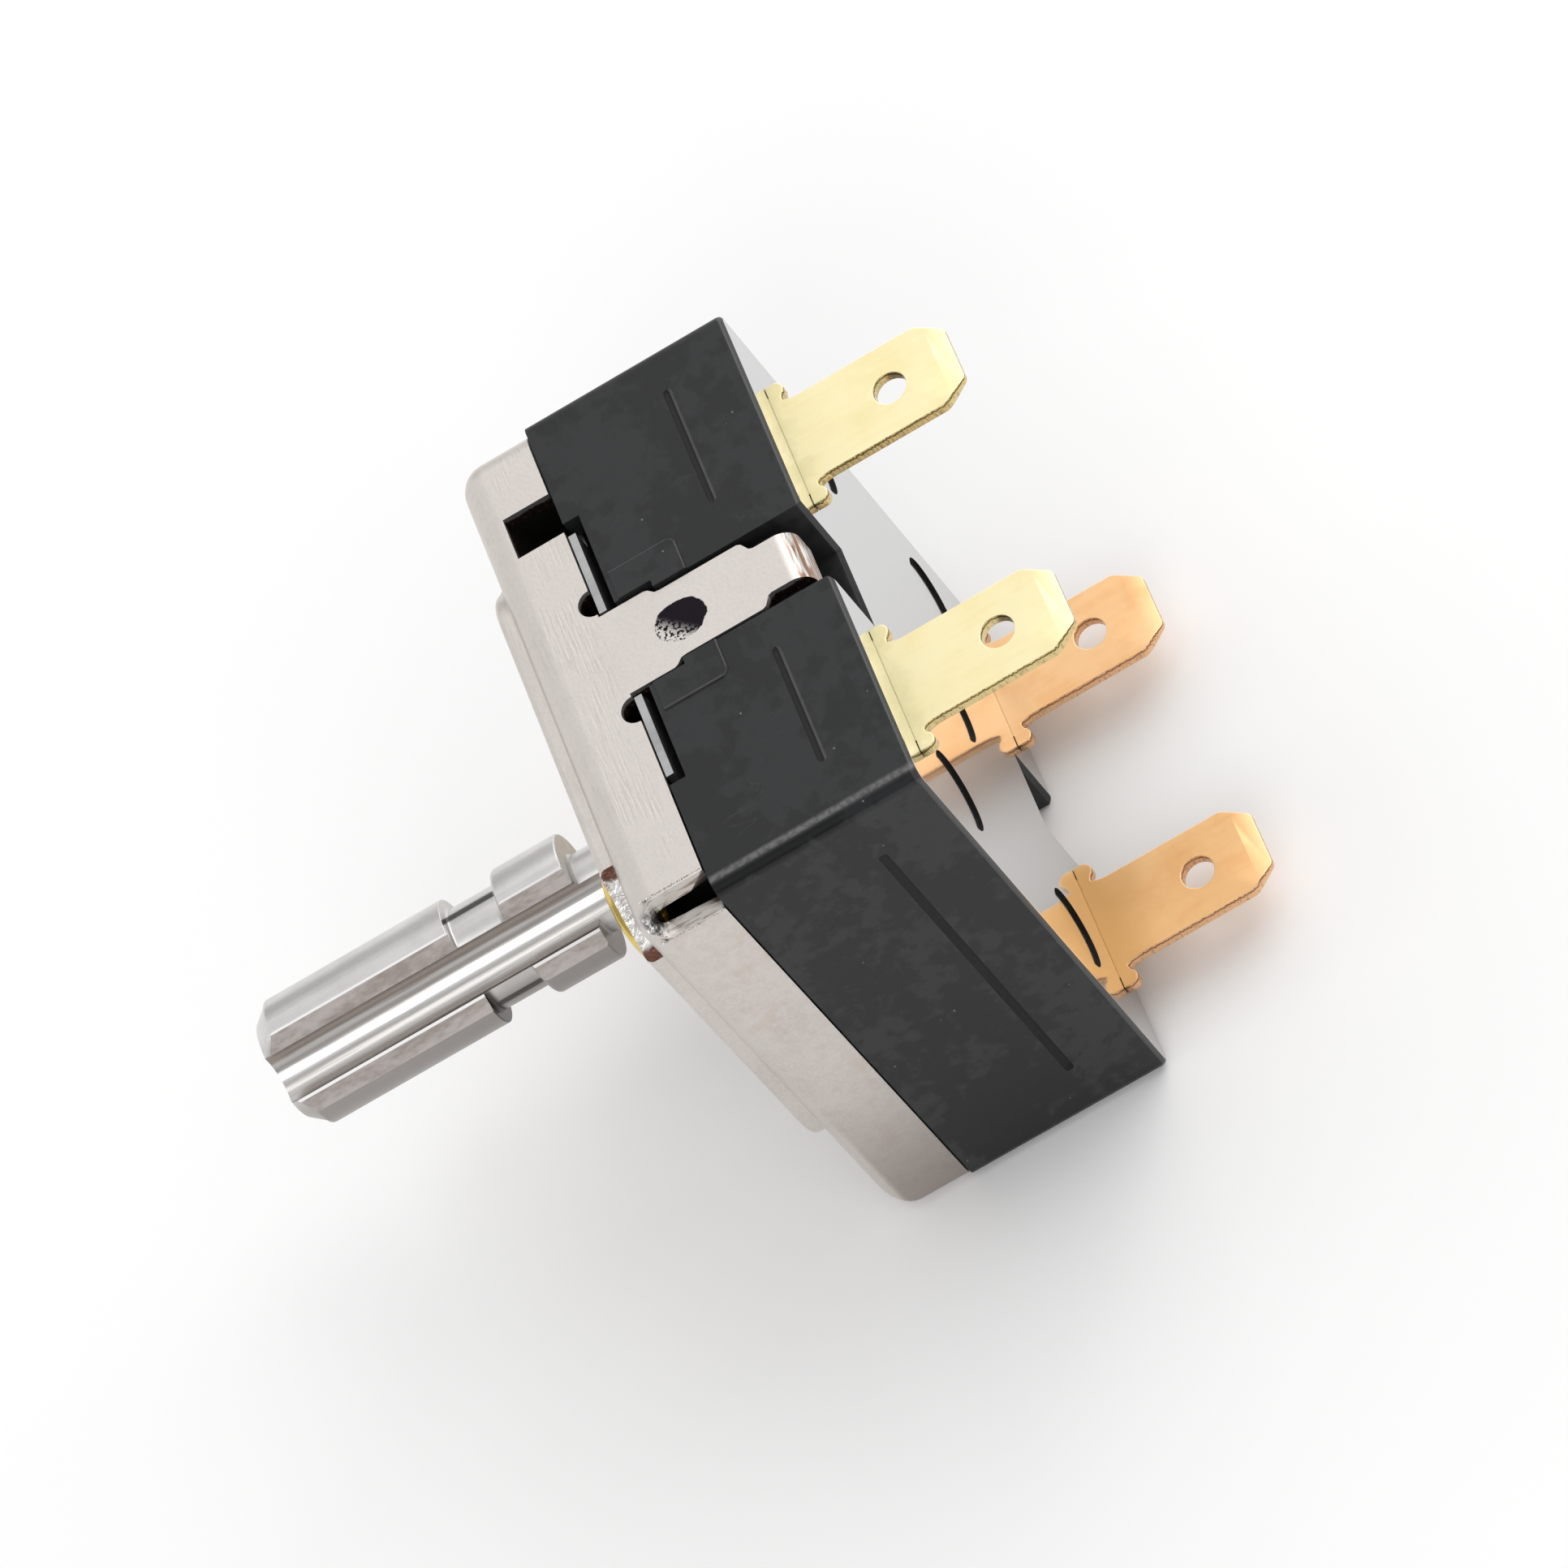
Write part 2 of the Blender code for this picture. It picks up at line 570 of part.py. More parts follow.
def build_housing(switch, moulding):
    """The square moulding that holds the contacts, open to the front."""
    housing = switch.add("housing", housing_block(), moulding)
    switch.join(housing, [strap_guide(1), strap_guide(-1)])
    ledge = block((-LEDGE_HALF, HOUSING_FRONT - PAST, -LEDGE_HALF), (LEDGE_HALF, LEDGE_Y, LEDGE_HALF))
    cavity_low = (-CAVITY_HALF, LEDGE_Y - 0.5, -CAVITY_HALF)
    cuts = [ledge, block(cavity_low, (CAVITY_HALF, CAVITY_BACK, CAVITY_HALF))]
    cuts += strap_side_cuts(1) + strap_side_cuts(-1)
    low = GROOVE_Y - GROOVE_WIDTH / 2
    high = GROOVE_Y + GROOVE_WIDTH / 2
    for side in (1, -1):
        ends = sorted((side * (HALF_HOUSING - GROOVE_DEPTH), side * (HALF_HOUSING + PAST)))
        reach = HALF_HOUSING - PLAIN_GROOVE_INSET
        cuts.append(block((ends[0], low, -reach), (ends[1], high, reach)))
    mark_x = HALF_HOUSING - BACK_MARK_INSET_X
    mark_z = HALF_HOUSING - BACK_MARK_INSET_Z
    marks = [circle((a * mark_x, b * mark_z), BACK_MARK_RADIUS) for a in (1, -1) for b in (1, -1)]
    for mark in marks + [circle((0.0, 0.0), BACK_CENTRE_RADIUS)]:
        cuts.append(prism(mark, HOUSING_BACK - BACK_MARK_DEPTH, HOUSING_BACK + PAST))
    for side in (1, -1):
        for height in (UPPER_TAB_Z, LOWER_TAB_Z):
            half = TAB_NECK_HALF + RUNNING
            centre = side * TAB_MIDDLE
            gap = TAB_THICKNESS / 2 + SLIDE_FIT
            slot_low = (centre - half, CAVITY_BACK - PAST, height - gap)
            cuts.append(block(slot_low, (centre + half, HOUSING_BACK + PAST, height + gap)))
    switch.cut(housing, cuts)
    boss = prism(circle((0.0, 0.0), PIVOT_BOSS_RADIUS), CAVITY_BACK - PIVOT_BOSS_HEIGHT, CAVITY_BACK + 0.5)
    switch.join(housing, [boss])
    socket = circle((0.0, 0.0), PIVOT_RADIUS + RUNNING)
    switch.cut(housing, [prism(socket, CAVITY_BACK - 2.0, PIVOT_END + RUNNING)])


def spindle_profile():
    """Return the spindle's outline from its tip to the end of its flange."""
    return [
        (0.0, SPINDLE_TIP),
        (SPINDLE_RADIUS - TIP_CHAMFER, SPINDLE_TIP),
        (SPINDLE_RADIUS - 0.35 * TIP_CHAMFER, SPINDLE_TIP + 0.55 * TIP_CHAMFER),
        (SPINDLE_RADIUS, SPINDLE_TIP + 1.25 * TIP_CHAMFER),
        (SPINDLE_RADIUS, CLIP_GROOVE_LOW),
        (CLIP_GROOVE_RADIUS, CLIP_GROOVE_LOW + CLIP_GROOVE_SLANT),
        (CLIP_GROOVE_RADIUS, CLIP_GROOVE_HIGH),
        (SPINDLE_RADIUS - COLLAR_CHAMFER, CLIP_GROOVE_HIGH),
        (SPINDLE_RADIUS, CLIP_GROOVE_HIGH + COLLAR_CHAMFER),
        (SPINDLE_RADIUS, COLLAR_END),
        (NECK_RADIUS, COLLAR_END),
        (NECK_RADIUS, JOURNAL_START),
        (SPINDLE_RADIUS, JOURNAL_START),
        (SPINDLE_RADIUS, FLANGE_FRONT),
        (FLANGE_RADIUS, FLANGE_FRONT),
        (FLANGE_RADIUS, FLANGE_REAR),
        (0.0, FLANGE_REAR),
    ]


def key_turn(mesh):
    """Turn a cutter drawn facing +Z so that it faces the key direction."""
    turn = Matrix.Rotation(math.radians(90.0 - KEY_DIRECTION), 3, "Y")
    bmesh.ops.rotate(mesh, verts=mesh.verts, matrix=turn)
    return mesh


def build_spindle(switch, casting):
    """The one-piece spindle: slotted shaft, clip groove, collar, flange, square and pivot."""
    spindle = switch.add("spindle", turned(spindle_profile()), casting)
    half = SQUARE_SIDE / 2
    square = block((-half, FLANGE_REAR - 0.5, -half), (half, SQUARE_END, half))
    pivot = prism(circle((0.0, 0.0), PIVOT_RADIUS), SQUARE_END - 0.5, PIVOT_END)
    switch.join(spindle, [square, pivot])
    wide = SPINDLE_RADIUS + PAST
    flat = block((-wide, SPINDLE_TIP - PAST, FLAT_DISTANCE), (wide, COLLAR_END, wide))
    slot_half = SLOT_WIDTH / 2
    drop = math.sqrt(SLOT_FLOOR_RADIUS**2 - slot_half**2)
    spread = math.degrees(math.asin(slot_half / SLOT_FLOOR_RADIUS))
    middle = FLAT_DISTANCE - SLOT_WALL + drop
    floor = arc((0.0, middle), SLOT_FLOOR_RADIUS, 270.0 - spread, 270.0 + spread, 8)
    outline = [(slot_half, wide), (-slot_half, wide)] + floor
    slot = prism(outline, SPINDLE_TIP - 1, SLOT_END)
    switch.cut(spindle, [key_turn(flat), key_turn(slot)])


def build_washer(switch, steel):
    """The thin washer between the front plate and the spindle's flange."""
    inner = SPINDLE_RADIUS + RUNNING
    rear = WASHER_FRONT + WASHER_THICKNESS
    outer = FLANGE_RADIUS
    profile = [(inner, WASHER_FRONT), (outer, WASHER_FRONT), (outer, rear), (inner, rear)]
    switch.add("spindle_washer", turned(profile), steel)


def build_rotor(switch, moulding):
    """The index rotor that carries the two sprung balls and the stop's slot."""
    web = ROTOR_REAR - ROTOR_WEB_THICKNESS
    edge = 0.4
    profile = [
        (0.0, web),
        (ROTOR_RECESS_RADIUS, web),
        (ROTOR_RECESS_RADIUS, ROTOR_FRONT),
        (ROTOR_RADIUS - edge, ROTOR_FRONT),
        (ROTOR_RADIUS, ROTOR_FRONT + edge),
        (ROTOR_RADIUS, ROTOR_REAR - edge),
        (ROTOR_RADIUS - edge, ROTOR_REAR),
        (0.0, ROTOR_REAR),
    ]
    rotor = switch.add("index_rotor", turned(profile), moulding)
    hole = SQUARE_HOLE_HALF
    cuts = [block((-hole, web - 1, -hole), (hole, ROTOR_REAR + 1, hole))]
    for side in (1, -1):
        spot = (side * DETENT_CIRCLE / math.sqrt(2), side * DETENT_CIRCLE / math.sqrt(2))
        cuts.append(prism(circle(spot, BALL_BORE_RADIUS), BORE_BOTTOM_Y, ROTOR_REAR + 1))
    spare = math.degrees((STOP_WIDTH / 2 + RUNNING) / STOP_RADIUS)
    start = STOP_ANGLE - spare
    end = STOP_ANGLE + SPINDLE_TURN + spare
    reach = DETENT_PLATE_THICKNESS / 2 + RUNNING
    outer = arc((0.0, 0.0), STOP_RADIUS + reach, start, end, 24)
    inner = arc((0.0, 0.0), STOP_RADIUS - reach, end, start, 24)
    bottom = DETENT_FRONT - STOP_HEIGHT - RUNNING
    cuts.append(prism(outer + inner, bottom, ROTOR_REAR + 1))
    switch.cut(rotor, cuts)


def helix(radius, wire, turns, low, high, centre):
    """Return a coil spring of round wire along Y."""
    steps = int(turns * 14)
    sides = 6
    rings = []
    for step in range(steps + 1):
        share = step / steps
        angle = 2 * math.pi * turns * share
        level = low + wire / 2 + (high - low - wire) * share
        ring = []
        for side in range(sides):
            around = 2 * math.pi * side / sides
            reach = radius + wire / 2 * math.cos(around)
            across = centre[0] + reach * math.cos(angle)
            up = centre[1] + reach * math.sin(angle)
            ring.append(placed(across, up, level + wire / 2 * math.sin(around), "Y"))
        rings.append(ring)
    return loft(rings)


def build_detents(switch, steel):
    """Two balls and the springs behind them."""
    for number, side in ((1, 1), (2, -1)):
        offset = side * DETENT_CIRCLE / math.sqrt(2)
        profile = [(0.0, BALL_CENTRE_Y - BALL_RADIUS)]
        for radius, level in arc((0.0, BALL_CENTRE_Y), BALL_RADIUS, -80.0, 80.0, 8):
            profile.append((radius, level))
        profile.append((0.0, BALL_CENTRE_Y + BALL_RADIUS))
        ball = turned(profile, 20, (offset, offset))
        switch.add(f"detent_ball_{number}", ball, steel, (offset, BALL_CENTRE_Y, offset))
        low = BORE_BOTTOM_Y + SEAT
        high = BALL_CENTRE_Y - BALL_RADIUS + 0.12
        coil = helix(SPRING_RADIUS, SPRING_WIRE, SPRING_TURNS, low, high, (offset, offset))
        switch.add(f"detent_spring_{number}", coil, steel)


def cam_radius(angle):
    """Return the cam's radius at an angle in degrees, low in its valleys."""
    for valley in CAM_VALLEYS:
        apart = abs((angle - valley + 180.0) % 360.0 - 180.0)
        ramp = (apart - CAM_VALLEY_HALF_ANGLE) / CAM_RAMP_ANGLE
        if ramp < 1.0:
            share = max(ramp, 0.0)
            return CAM_LOBE_RADIUS - CAM_LIFT * (1 - share * share * (3 - 2 * share))
    return CAM_LOBE_RADIUS


def build_cam(switch, moulding):
    """The moulded cam whose valleys let the spring blades close."""
    outline = []
    for step in range(90):
        angle = step * 4.0
        turn = math.radians(angle)
        outline.append((cam_radius(angle) * math.cos(turn), cam_radius(angle) * math.sin(turn)))
    cam = switch.add("contact_cam", prism(outline, CAM_FRONT, CAM_REAR), moulding)
    hole = SQUARE_HOLE_HALF
    switch.cut(cam, [block((-hole, CAM_FRONT - PAST, -hole), (hole, CAM_REAR + PAST, hole))])


def tab_outline(inner_low, inner_high):
    """Return a terminal's flat outline about its own middle, from its tip to its inner end."""
    half = TAB_WIDTH / 2
    foot = HOUSING_BACK + SEAT
    shoulder = HOUSING_BACK + TAB_SHOULDER
    chamfer_x, chamfer_y = TAB_TIP_CHAMFER
    right = [
        (half - chamfer_x, TAB_TIP),
        (half, TAB_TIP - chamfer_y),
        (half, shoulder),
        (half + TAB_NOTCH_SIDE, HOUSING_BACK + TAB_NOTCH_HEIGHT),
    ]
    lobe = (TAB_EAR_HALF - TAB_EAR_ROUND, HOUSING_BACK + TAB_EAR_HEIGHT - TAB_EAR_ROUND)
    right += arc(lobe, TAB_EAR_ROUND, 150.0, 0.0, 4)
    right += [(TAB_EAR_HALF, foot), (TAB_NECK_HALF, foot), (TAB_NECK_HALF, CAVITY_BACK - SEAT)]
    left = [(-a, b) for a, b in right]
    right += [(inner_high, CAVITY_BACK - SEAT), (inner_high, BLADE_LOW)]
    left += [(inner_low, CAVITY_BACK - SEAT), (inner_low, BLADE_LOW)]
    return right + left[::-1]


def tip_wedges(middle, height):
    """Return the two cutters that thin a tab towards its tip."""
    half = TAB_THICKNESS / 2
    tip = TAB_TIP_THICKNESS / 2
    wedges = []
    for side in (1, -1):
        start = TAB_TIP - TAB_LEAD_IN
        end = TAB_TIP + PAST / 2
        clear = height + side * (half + PAST)
        outline = [(start, height + side * half), (end, height + side * tip), (end, clear), (start, clear)]
        wedges.append(prism(outline, middle - TAB_WIDTH, middle + TAB_WIDTH, "X"))
    return wedges


def tab(switch, name, middle, height, inner_low, inner_high, finish):
    """Return a terminal's flat part, with its hole and thinned tip."""
    outline = [(middle + a, b) for a, b in tab_outline(inner_low, inner_high)]
    half = TAB_THICKNESS / 2
    made = switch.add(name, prism(outline, height - half, height + half, "Z"), finish)
    hole = prism(circle((middle, TAB_HOLE_Y), TAB_HOLE_RADIUS), height - PAST, height + PAST, "Z")
    switch.cut(made, [hole] + tip_wedges(middle, height))
    return made


def contact(side, face, shank_to, facing):
    """Return a contact rivet: domed head on face, shank through the blade, upset behind it."""
    head = CONTACT_HEAD
    outline = [
        (0.0, 0.0),
        (0.55 * CONTACT_RADIUS, 0.0),
        (0.9 * CONTACT_RADIUS, 0.2 * head),
        (CONTACT_RADIUS, 0.6 * head),
        (CONTACT_RADIUS, head),
        (CONTACT_SHANK, head),
        (CONTACT_SHANK, shank_to),
        (CONTACT_UPSET_RADIUS, shank_to),
        (CONTACT_UPSET_RADIUS, shank_to + CONTACT_UPSET),
        (0.0, shank_to + CONTACT_UPSET),
    ]
    made = turned(outline, SMALL_SIDES)
    direction = 90.0 if side * facing > 0 else -90.0
    bmesh.ops.rotate(made, verts=made.verts, matrix=Matrix.Rotation(math.radians(direction), 3, "Z"))
    middle = (BLADE_LOW + BLADE_HIGH) / 2
    bmesh.ops.translate(made, verts=made.verts, vec=Vector((side * face, middle, CONTACT_Z)) * MM)
    return made


def contact_hole(side, low, high):
    """Return the cutter for a contact's hole through a blade."""
    middle = (BLADE_LOW + BLADE_HIGH) / 2
    ends = sorted((side * low, side * high))
    return prism(circle((middle, CONTACT_Z), CONTACT_SHANK + SLIDE_FIT), ends[0], ends[1], "X")


def build_fixed_terminal(switch, number, side, brass, silver):
    """A brass terminal with a leg that carries a fixed contact."""
    middle = side * TAB_MIDDLE
    ends = (side * UPPER_LEG_X - middle, side * TAB_WIDTH / 2)
    made = tab(switch, f"terminal_{number}", middle, UPPER_TAB_Z, min(ends), max(ends), brass)
    xs = sorted((side * UPPER_LEG_X, side * (UPPER_LEG_X + TAB_THICKNESS)))
    low = (xs[0], BLADE_LOW, CONTACT_Z - CONTACT_RADIUS - 0.5)
    leg = block(low, (xs[1], BLADE_HIGH, UPPER_TAB_Z))
    switch.join(made, [leg])
    switch.cut(made, [contact_hole(side, UPPER_LEG_X - 1.0, UPPER_LEG_X + 2.0)])
    face = UPPER_LEG_X + TAB_THICKNESS + SEAT + CONTACT_HEAD
    shank = CONTACT_HEAD + 2 * SEAT + TAB_THICKNESS
    switch.add(f"fixed_contact_{number}", contact(side, face, shank, 1), silver)


def build_spring_terminal(switch, number, side, bronze, silver):
    """A copper-alloy terminal whose spring blade rides the cam and carries a moving contact."""
    middle = side * TAB_MIDDLE
    reach = TAB_WIDTH / 2
    made = tab(switch, f"terminal_{number}", middle, LOWER_TAB_Z, -reach, reach, bronze)
    low_x = CAM_LOBE_RADIUS + RUNNING + BLADE_THICKNESS / 2
    path = [(LOWER_TAB_Z, BLADE_FROM_AXIS), (-FOLLOWER_HALF, BLADE_FROM_AXIS)]
    for step in range(1, 12):
        share = step / 12
        dip = (BLADE_FROM_AXIS - low_x) * math.sin(math.pi * share) ** 2
        path.append((-FOLLOWER_HALF + 2 * FOLLOWER_HALF * share, BLADE_FROM_AXIS - dip))
    path += [(FOLLOWER_HALF, BLADE_FROM_AXIS), (BLADE_END, BLADE_FROM_AXIS)]
    path = [(side * across, up) for up, across in path]
    half = (BLADE_HIGH - BLADE_LOW) / 2
    blade = ribbon(path, [half] * len(path), BLADE_THICKNESS, "Y", BLADE_LOW + half)
    switch.join(made, [blade])
    switch.cut(made, [contact_hole(side, BLADE_FROM_AXIS - 1.0, BLADE_FROM_AXIS + 1.0)])
    face = BLADE_FROM_AXIS - BLADE_THICKNESS / 2 - SEAT - CONTACT_HEAD
    shank = CONTACT_HEAD + 2 * SEAT + BLADE_THICKNESS
    switch.add(f"moving_contact_{number}", contact(side, face, shank, -1), silver)


def build_inserts(switch, brass):
    """The two brass inserts that take the mounting screws."""
    head_foot = PAD_FRONT - SEAT
    foot_front = PAD_INSIDE + SEAT
    roll = (INSERT_HEAD_RADIUS - INSERT_BORE_RADIUS) / 2
    middle = INSERT_BORE_RADIUS + roll
    dome = [(middle + roll * math.cos(math.radians(a)), head_foot - INSERT_HEAD_HEIGHT * math.sin(
        math.radians(a))) for a in range(180, -1, -20)]
    foot_rear = foot_front + INSERT_FOOT_THICKNESS
    profile = [(INSERT_BORE_RADIUS, foot_rear)] + dome
    profile += [
        (INSERT_BARREL_RADIUS, head_foot),
        (INSERT_BARREL_RADIUS, foot_front),
        (INSERT_FOOT_RADIUS, foot_front),
        (INSERT_FOOT_RADIUS, foot_rear),
    ]
    for number, side in ((1, 1), (2, -1)):
        spot = (side * INSERT_OFFSET, side * INSERT_OFFSET)
        switch.add(f"mounting_insert_{number}", turned(profile, 32, spot), brass)


def main():
    """Build every piece of the switch."""
    for old in list(bpy.data.objects):
        bpy.data.objects.remove(old)
    nickel = material("nickel_steel", (0.62, 0.59, 0.56), 0.32, 1.0)
    steel = material("bright_steel", (0.66, 0.66, 0.67), 0.3, 1.0)
    casting = material("zinc_casting", (0.66, 0.64, 0.62), 0.35, 1.0)
    black = material("black_moulding", (0.018, 0.019, 0.021), 0.38, 0.0)
    natural = material("natural_nylon", (0.6, 0.57, 0.5), 0.5, 0.0)
    brass = material("brass", (0.83, 0.68, 0.34), 0.3, 1.0)
    bronze = material("copper_alloy", (0.86, 0.55, 0.36), 0.3, 1.0)
    silver = material("silver_contact", (0.86, 0.85, 0.82), 0.25, 1.0)
    switch = Switch()
    build_front_plate(switch, nickel)
    build_detent_plate(switch, steel)
    build_housing(switch, black)
    build_spindle(switch, casting)
    build_washer(switch, steel)
    build_rotor(switch, black)
    build_detents(switch, steel)
    build_cam(switch, natural)
    for number, side in ((1, -1), (2, 1)):
        build_fixed_terminal(switch, number, side, brass, silver)
    for number, side in ((3, -1), (4, 1)):
        build_spring_terminal(switch, number, side, bronze, silver)
    build_inserts(switch, brass)


main()
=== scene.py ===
"""Dressed model of a square rotary switch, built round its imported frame.

Sizes are in millimetres in the switch's own frame: the spindle turns about the Y axis, its tip
points to -Y, the terminals to +Y, and Y = 0 is the rim of the folded front plate. Each finished
mesh is moved to the frame's place and to metres at the end.
"""

from __future__ import annotations

import logging
import math
from dataclasses import dataclass, field
from enum import Enum

import bmesh
import bpy
from mathutils import Matrix, Vector

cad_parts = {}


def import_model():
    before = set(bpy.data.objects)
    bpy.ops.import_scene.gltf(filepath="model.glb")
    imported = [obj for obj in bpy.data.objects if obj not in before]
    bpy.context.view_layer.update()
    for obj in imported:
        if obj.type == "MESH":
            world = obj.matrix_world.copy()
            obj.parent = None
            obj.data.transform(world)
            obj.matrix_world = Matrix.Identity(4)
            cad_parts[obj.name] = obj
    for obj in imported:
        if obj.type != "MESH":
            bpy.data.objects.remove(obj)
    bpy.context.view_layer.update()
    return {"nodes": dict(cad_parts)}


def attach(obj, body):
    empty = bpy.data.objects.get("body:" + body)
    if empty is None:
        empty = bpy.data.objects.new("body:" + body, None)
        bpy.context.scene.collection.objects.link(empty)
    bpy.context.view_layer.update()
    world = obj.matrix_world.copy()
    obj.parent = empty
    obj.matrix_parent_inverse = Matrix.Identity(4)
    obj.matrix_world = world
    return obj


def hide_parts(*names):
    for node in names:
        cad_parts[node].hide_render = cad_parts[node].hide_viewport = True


LOG = logging.getLogger("rotary_switch")

MM = 0.001
FRAME_SHIFT = Vector((0.0, 3.9, 19.15))

Point = tuple[float, float]
Place = tuple[float, float, float]
Colour = tuple[float, float, float]
Solid = bmesh.types.BMesh
Piece = bpy.types.Object

PLATE_HALF = 18.9
HOUSING_HALF = 19.0
UPPER_Z = 15.0
LOWER_Z = -15.6
BLADE_X = 10.0
BLADE_THICKNESS = 0.8
CONTACT_Y = 6.1
CONTACT_Z = 9.2
INSERT_SPOT = 12.3
KEY_DIRECTION = 45.0
# Near-white of painted highlights, on the edges of the spindle's flats and in streaks on the strap's bend.
PAINTED_HIGHLIGHT: Colour = (0.95, 0.94, 0.93)


class Axis(Enum):
    """The direction in which an outline is pulled."""

    X = "X"
    Y = "Y"
    Z = "Z"


class Cut(Enum):
    """How a second solid changes the first one."""

    REMOVE = "DIFFERENCE"
    ADD = "UNION"


class Body(Enum):
    """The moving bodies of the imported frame."""

    CASE = "case"
    ROTOR = "rotor"


def placed(across: float, up: float, along: float, axis: Axis) -> Vector:
    """Turn outline coordinates into a point.

    Args:
        across: First outline coordinate.
        up: Second outline coordinate.
        along: Height along the axis.
        axis: Direction in which the outline is pulled.

    Returns:
        The point in the switch's frame, in millimetres.
    """
    if axis is Axis.Y:
        return Vector((across, along, up))
    if axis is Axis.Z:
        return Vector((across, up, along))
    return Vector((along, across, up))


def ring(outline: list[Point], level: float, axis: Axis = Axis.Y) -> list[Vector]:
    """Return an outline's corners at one level along an axis."""
    return [placed(a, b, level, axis) for a, b in outline]


def arc(centre: Point, radius: float, start: float, end: float, steps: int) -> list[Point]:
    """Return points on an arc, from start to end in degrees."""
    turns = [math.radians(start + (end - start) * step / steps) for step in range(steps + 1)]
    return [(centre[0] + radius * math.cos(a), centre[1] + radius * math.sin(a)) for a in turns]


def circle(centre: Point, radius: float, sides: int = 48) -> list[Point]:
    """Return the corners of a round outline."""
    return arc(centre, radius, 0.0, 360.0 - 360.0 / sides, sides - 1)


def rounded_square(half: float, corners: tuple[float, ...], steps: int) -> list[Point]:
    """Return a square's outline with a rounding for each corner, from +X +Z round to +X -Z.

    Args:
        half: Half of the side.
        corners: Radius of each corner.
        steps: Steps of each rounding.

    Returns:
        The outline.
    """
    points: list[Point] = []
    signs = ((1, 1), (-1, 1), (-1, -1), (1, -1))
    for quarter, ((sx, sz), reach) in enumerate(zip(signs, corners)):
        centre = (sx * (half - reach), sz * (half - reach))
        points += arc(centre, reach, quarter * 90.0, quarter * 90.0 + 90.0, steps)
    return points


def rounding(radius: float, steps: int) -> list[Point]:
    """Return the inset from the side and the depth under the face, round an edge to the face."""
    turns = [math.radians(90.0 * step / steps) for step in range(steps + 1)]
    return [(radius * (1 - math.cos(a)), radius * (1 - math.sin(a))) for a in turns]


def loft(rings: list[list[Vector]], edge_rows: tuple[int, ...] = ()) -> Solid:
    """Skin a closed solid through rings of points.

    Args:
        rings: Rings with the same number of points.
        edge_rows: Sides of the rings that show the sheet's edge and take the second finish.

    Returns:
        The solid, with outward normals.
    """
    mesh = bmesh.new()
    loops = [[mesh.verts.new(point) for point in ring] for ring in rings]
    for first, second in zip(loops, loops[1:]):
        for index, corner in enumerate(first):
            after = (index + 1) % len(first)
            face = mesh.faces.new((corner, first[after], second[after], second[index]))
            face.material_index = 1 if index in edge_rows else 0
    mesh.faces.new(reversed(loops[0]))
    mesh.faces.new(loops[-1])
    bmesh.ops.recalc_face_normals(mesh, faces=mesh.faces)
    if mesh.calc_volume(signed=True) < 0.0:
        bmesh.ops.reverse_faces(mesh, faces=mesh.faces)
    return mesh


def prism(outline: list[Point], low: float, high: float, axis: Axis = Axis.Y) -> Solid:
    """Return an outline drawn across an axis and pulled from low to high."""
    return loft([ring(outline, level, axis) for level in (low, high)])


def block(low: Place, high: Place) -> Solid:
    """Return a box between two corners."""
    outline = [(low[0], low[2]), (high[0], low[2]), (high[0], high[2]), (low[0], high[2])]
    return prism(outline, low[1], high[1])


def turned(profile: list[Point], sides: int, centre: Point = (0.0, 0.0)) -> Solid:
    """Turn a closed profile about a line along Y.

    Args:
        profile: Points as radius and Y.
        sides: Number of sides round the axis.
        centre: Place of the line, as X and Z.

    Returns:
        The turned solid.
    """
    mesh = bmesh.new()
    rings = []
    for radius, level in profile:
        count = 1 if radius < 1e-6 else sides
        ring = []
        for side in range(count):
            angle = 2 * math.pi * side / sides
            across = centre[0] + radius * math.cos(angle)
            ring.append(mesh.verts.new((across, level, centre[1] + radius * math.sin(angle))))
        rings.append(ring)
    for index, first in enumerate(rings):
        second = rings[(index + 1) % len(rings)]
        if len(first) == 1 and len(second) == 1:
            continue
        for side in range(sides):
            after = (side + 1) % sides
            corners = [first[side % len(first)], first[after % len(first)]]
            corners += [second[after % len(second)], second[side % len(second)]]
            mesh.faces.new(list(dict.fromkeys(corners)))
    bmesh.ops.recalc_face_normals(mesh, faces=mesh.faces)
    return mesh


def ribbon(path: list[Point], halves: list[float], thickness: float, axis: Axis) -> Solid:
    """Return a flat strip of sheet along a path.

    Args:
        path: Points of the strip's middle line.
        halves: Half of the strip's width at each point.
        thickness: Thickness of the sheet.
        axis: Direction of the strip's width.

    Returns:
        The strip, with its two long edges in the second finish.
    """
    rings = []
    for index, (point, half) in enumerate(zip(path, halves)):
        before = Vector(path[max(index - 1, 0)])
        after = Vector(path[min(index + 1, len(path) - 1)])
        heading = (after - before).normalized()
        side = Vector((-heading.y, heading.x)) * thickness / 2
        inner = Vector(point) - side
        outer = Vector(point) + side
        corners = ((inner, -half), (inner, half), (outer, half), (outer, -half))
        rings.append([placed(spot.x, spot.y, level, axis) for spot, level in corners])
    return loft(rings, edge_rows=(1, 3))


def linked(name: str, data: bpy.types.ID) -> Piece:
    """Return a new object in the scene.

    Args:
        name: Name of the object.
        data: What the object holds.

    Returns:
        The object.
    """
    made = bpy.data.objects.new(name, data)
    bpy.context.scene.collection.objects.link(made)
    return made


def settle(piece: Piece) -> None:
    """Turn a piece with modifiers into a plain mesh.

    Args:
        piece: The piece.
    """
    graph = bpy.context.evaluated_depsgraph_get()
    data = bpy.data.meshes.new_from_object(piece.evaluated_get(graph), depsgraph=graph)
    piece.modifiers.clear()
    old = piece.data
    piece.data = data
    bpy.data.meshes.remove(old)


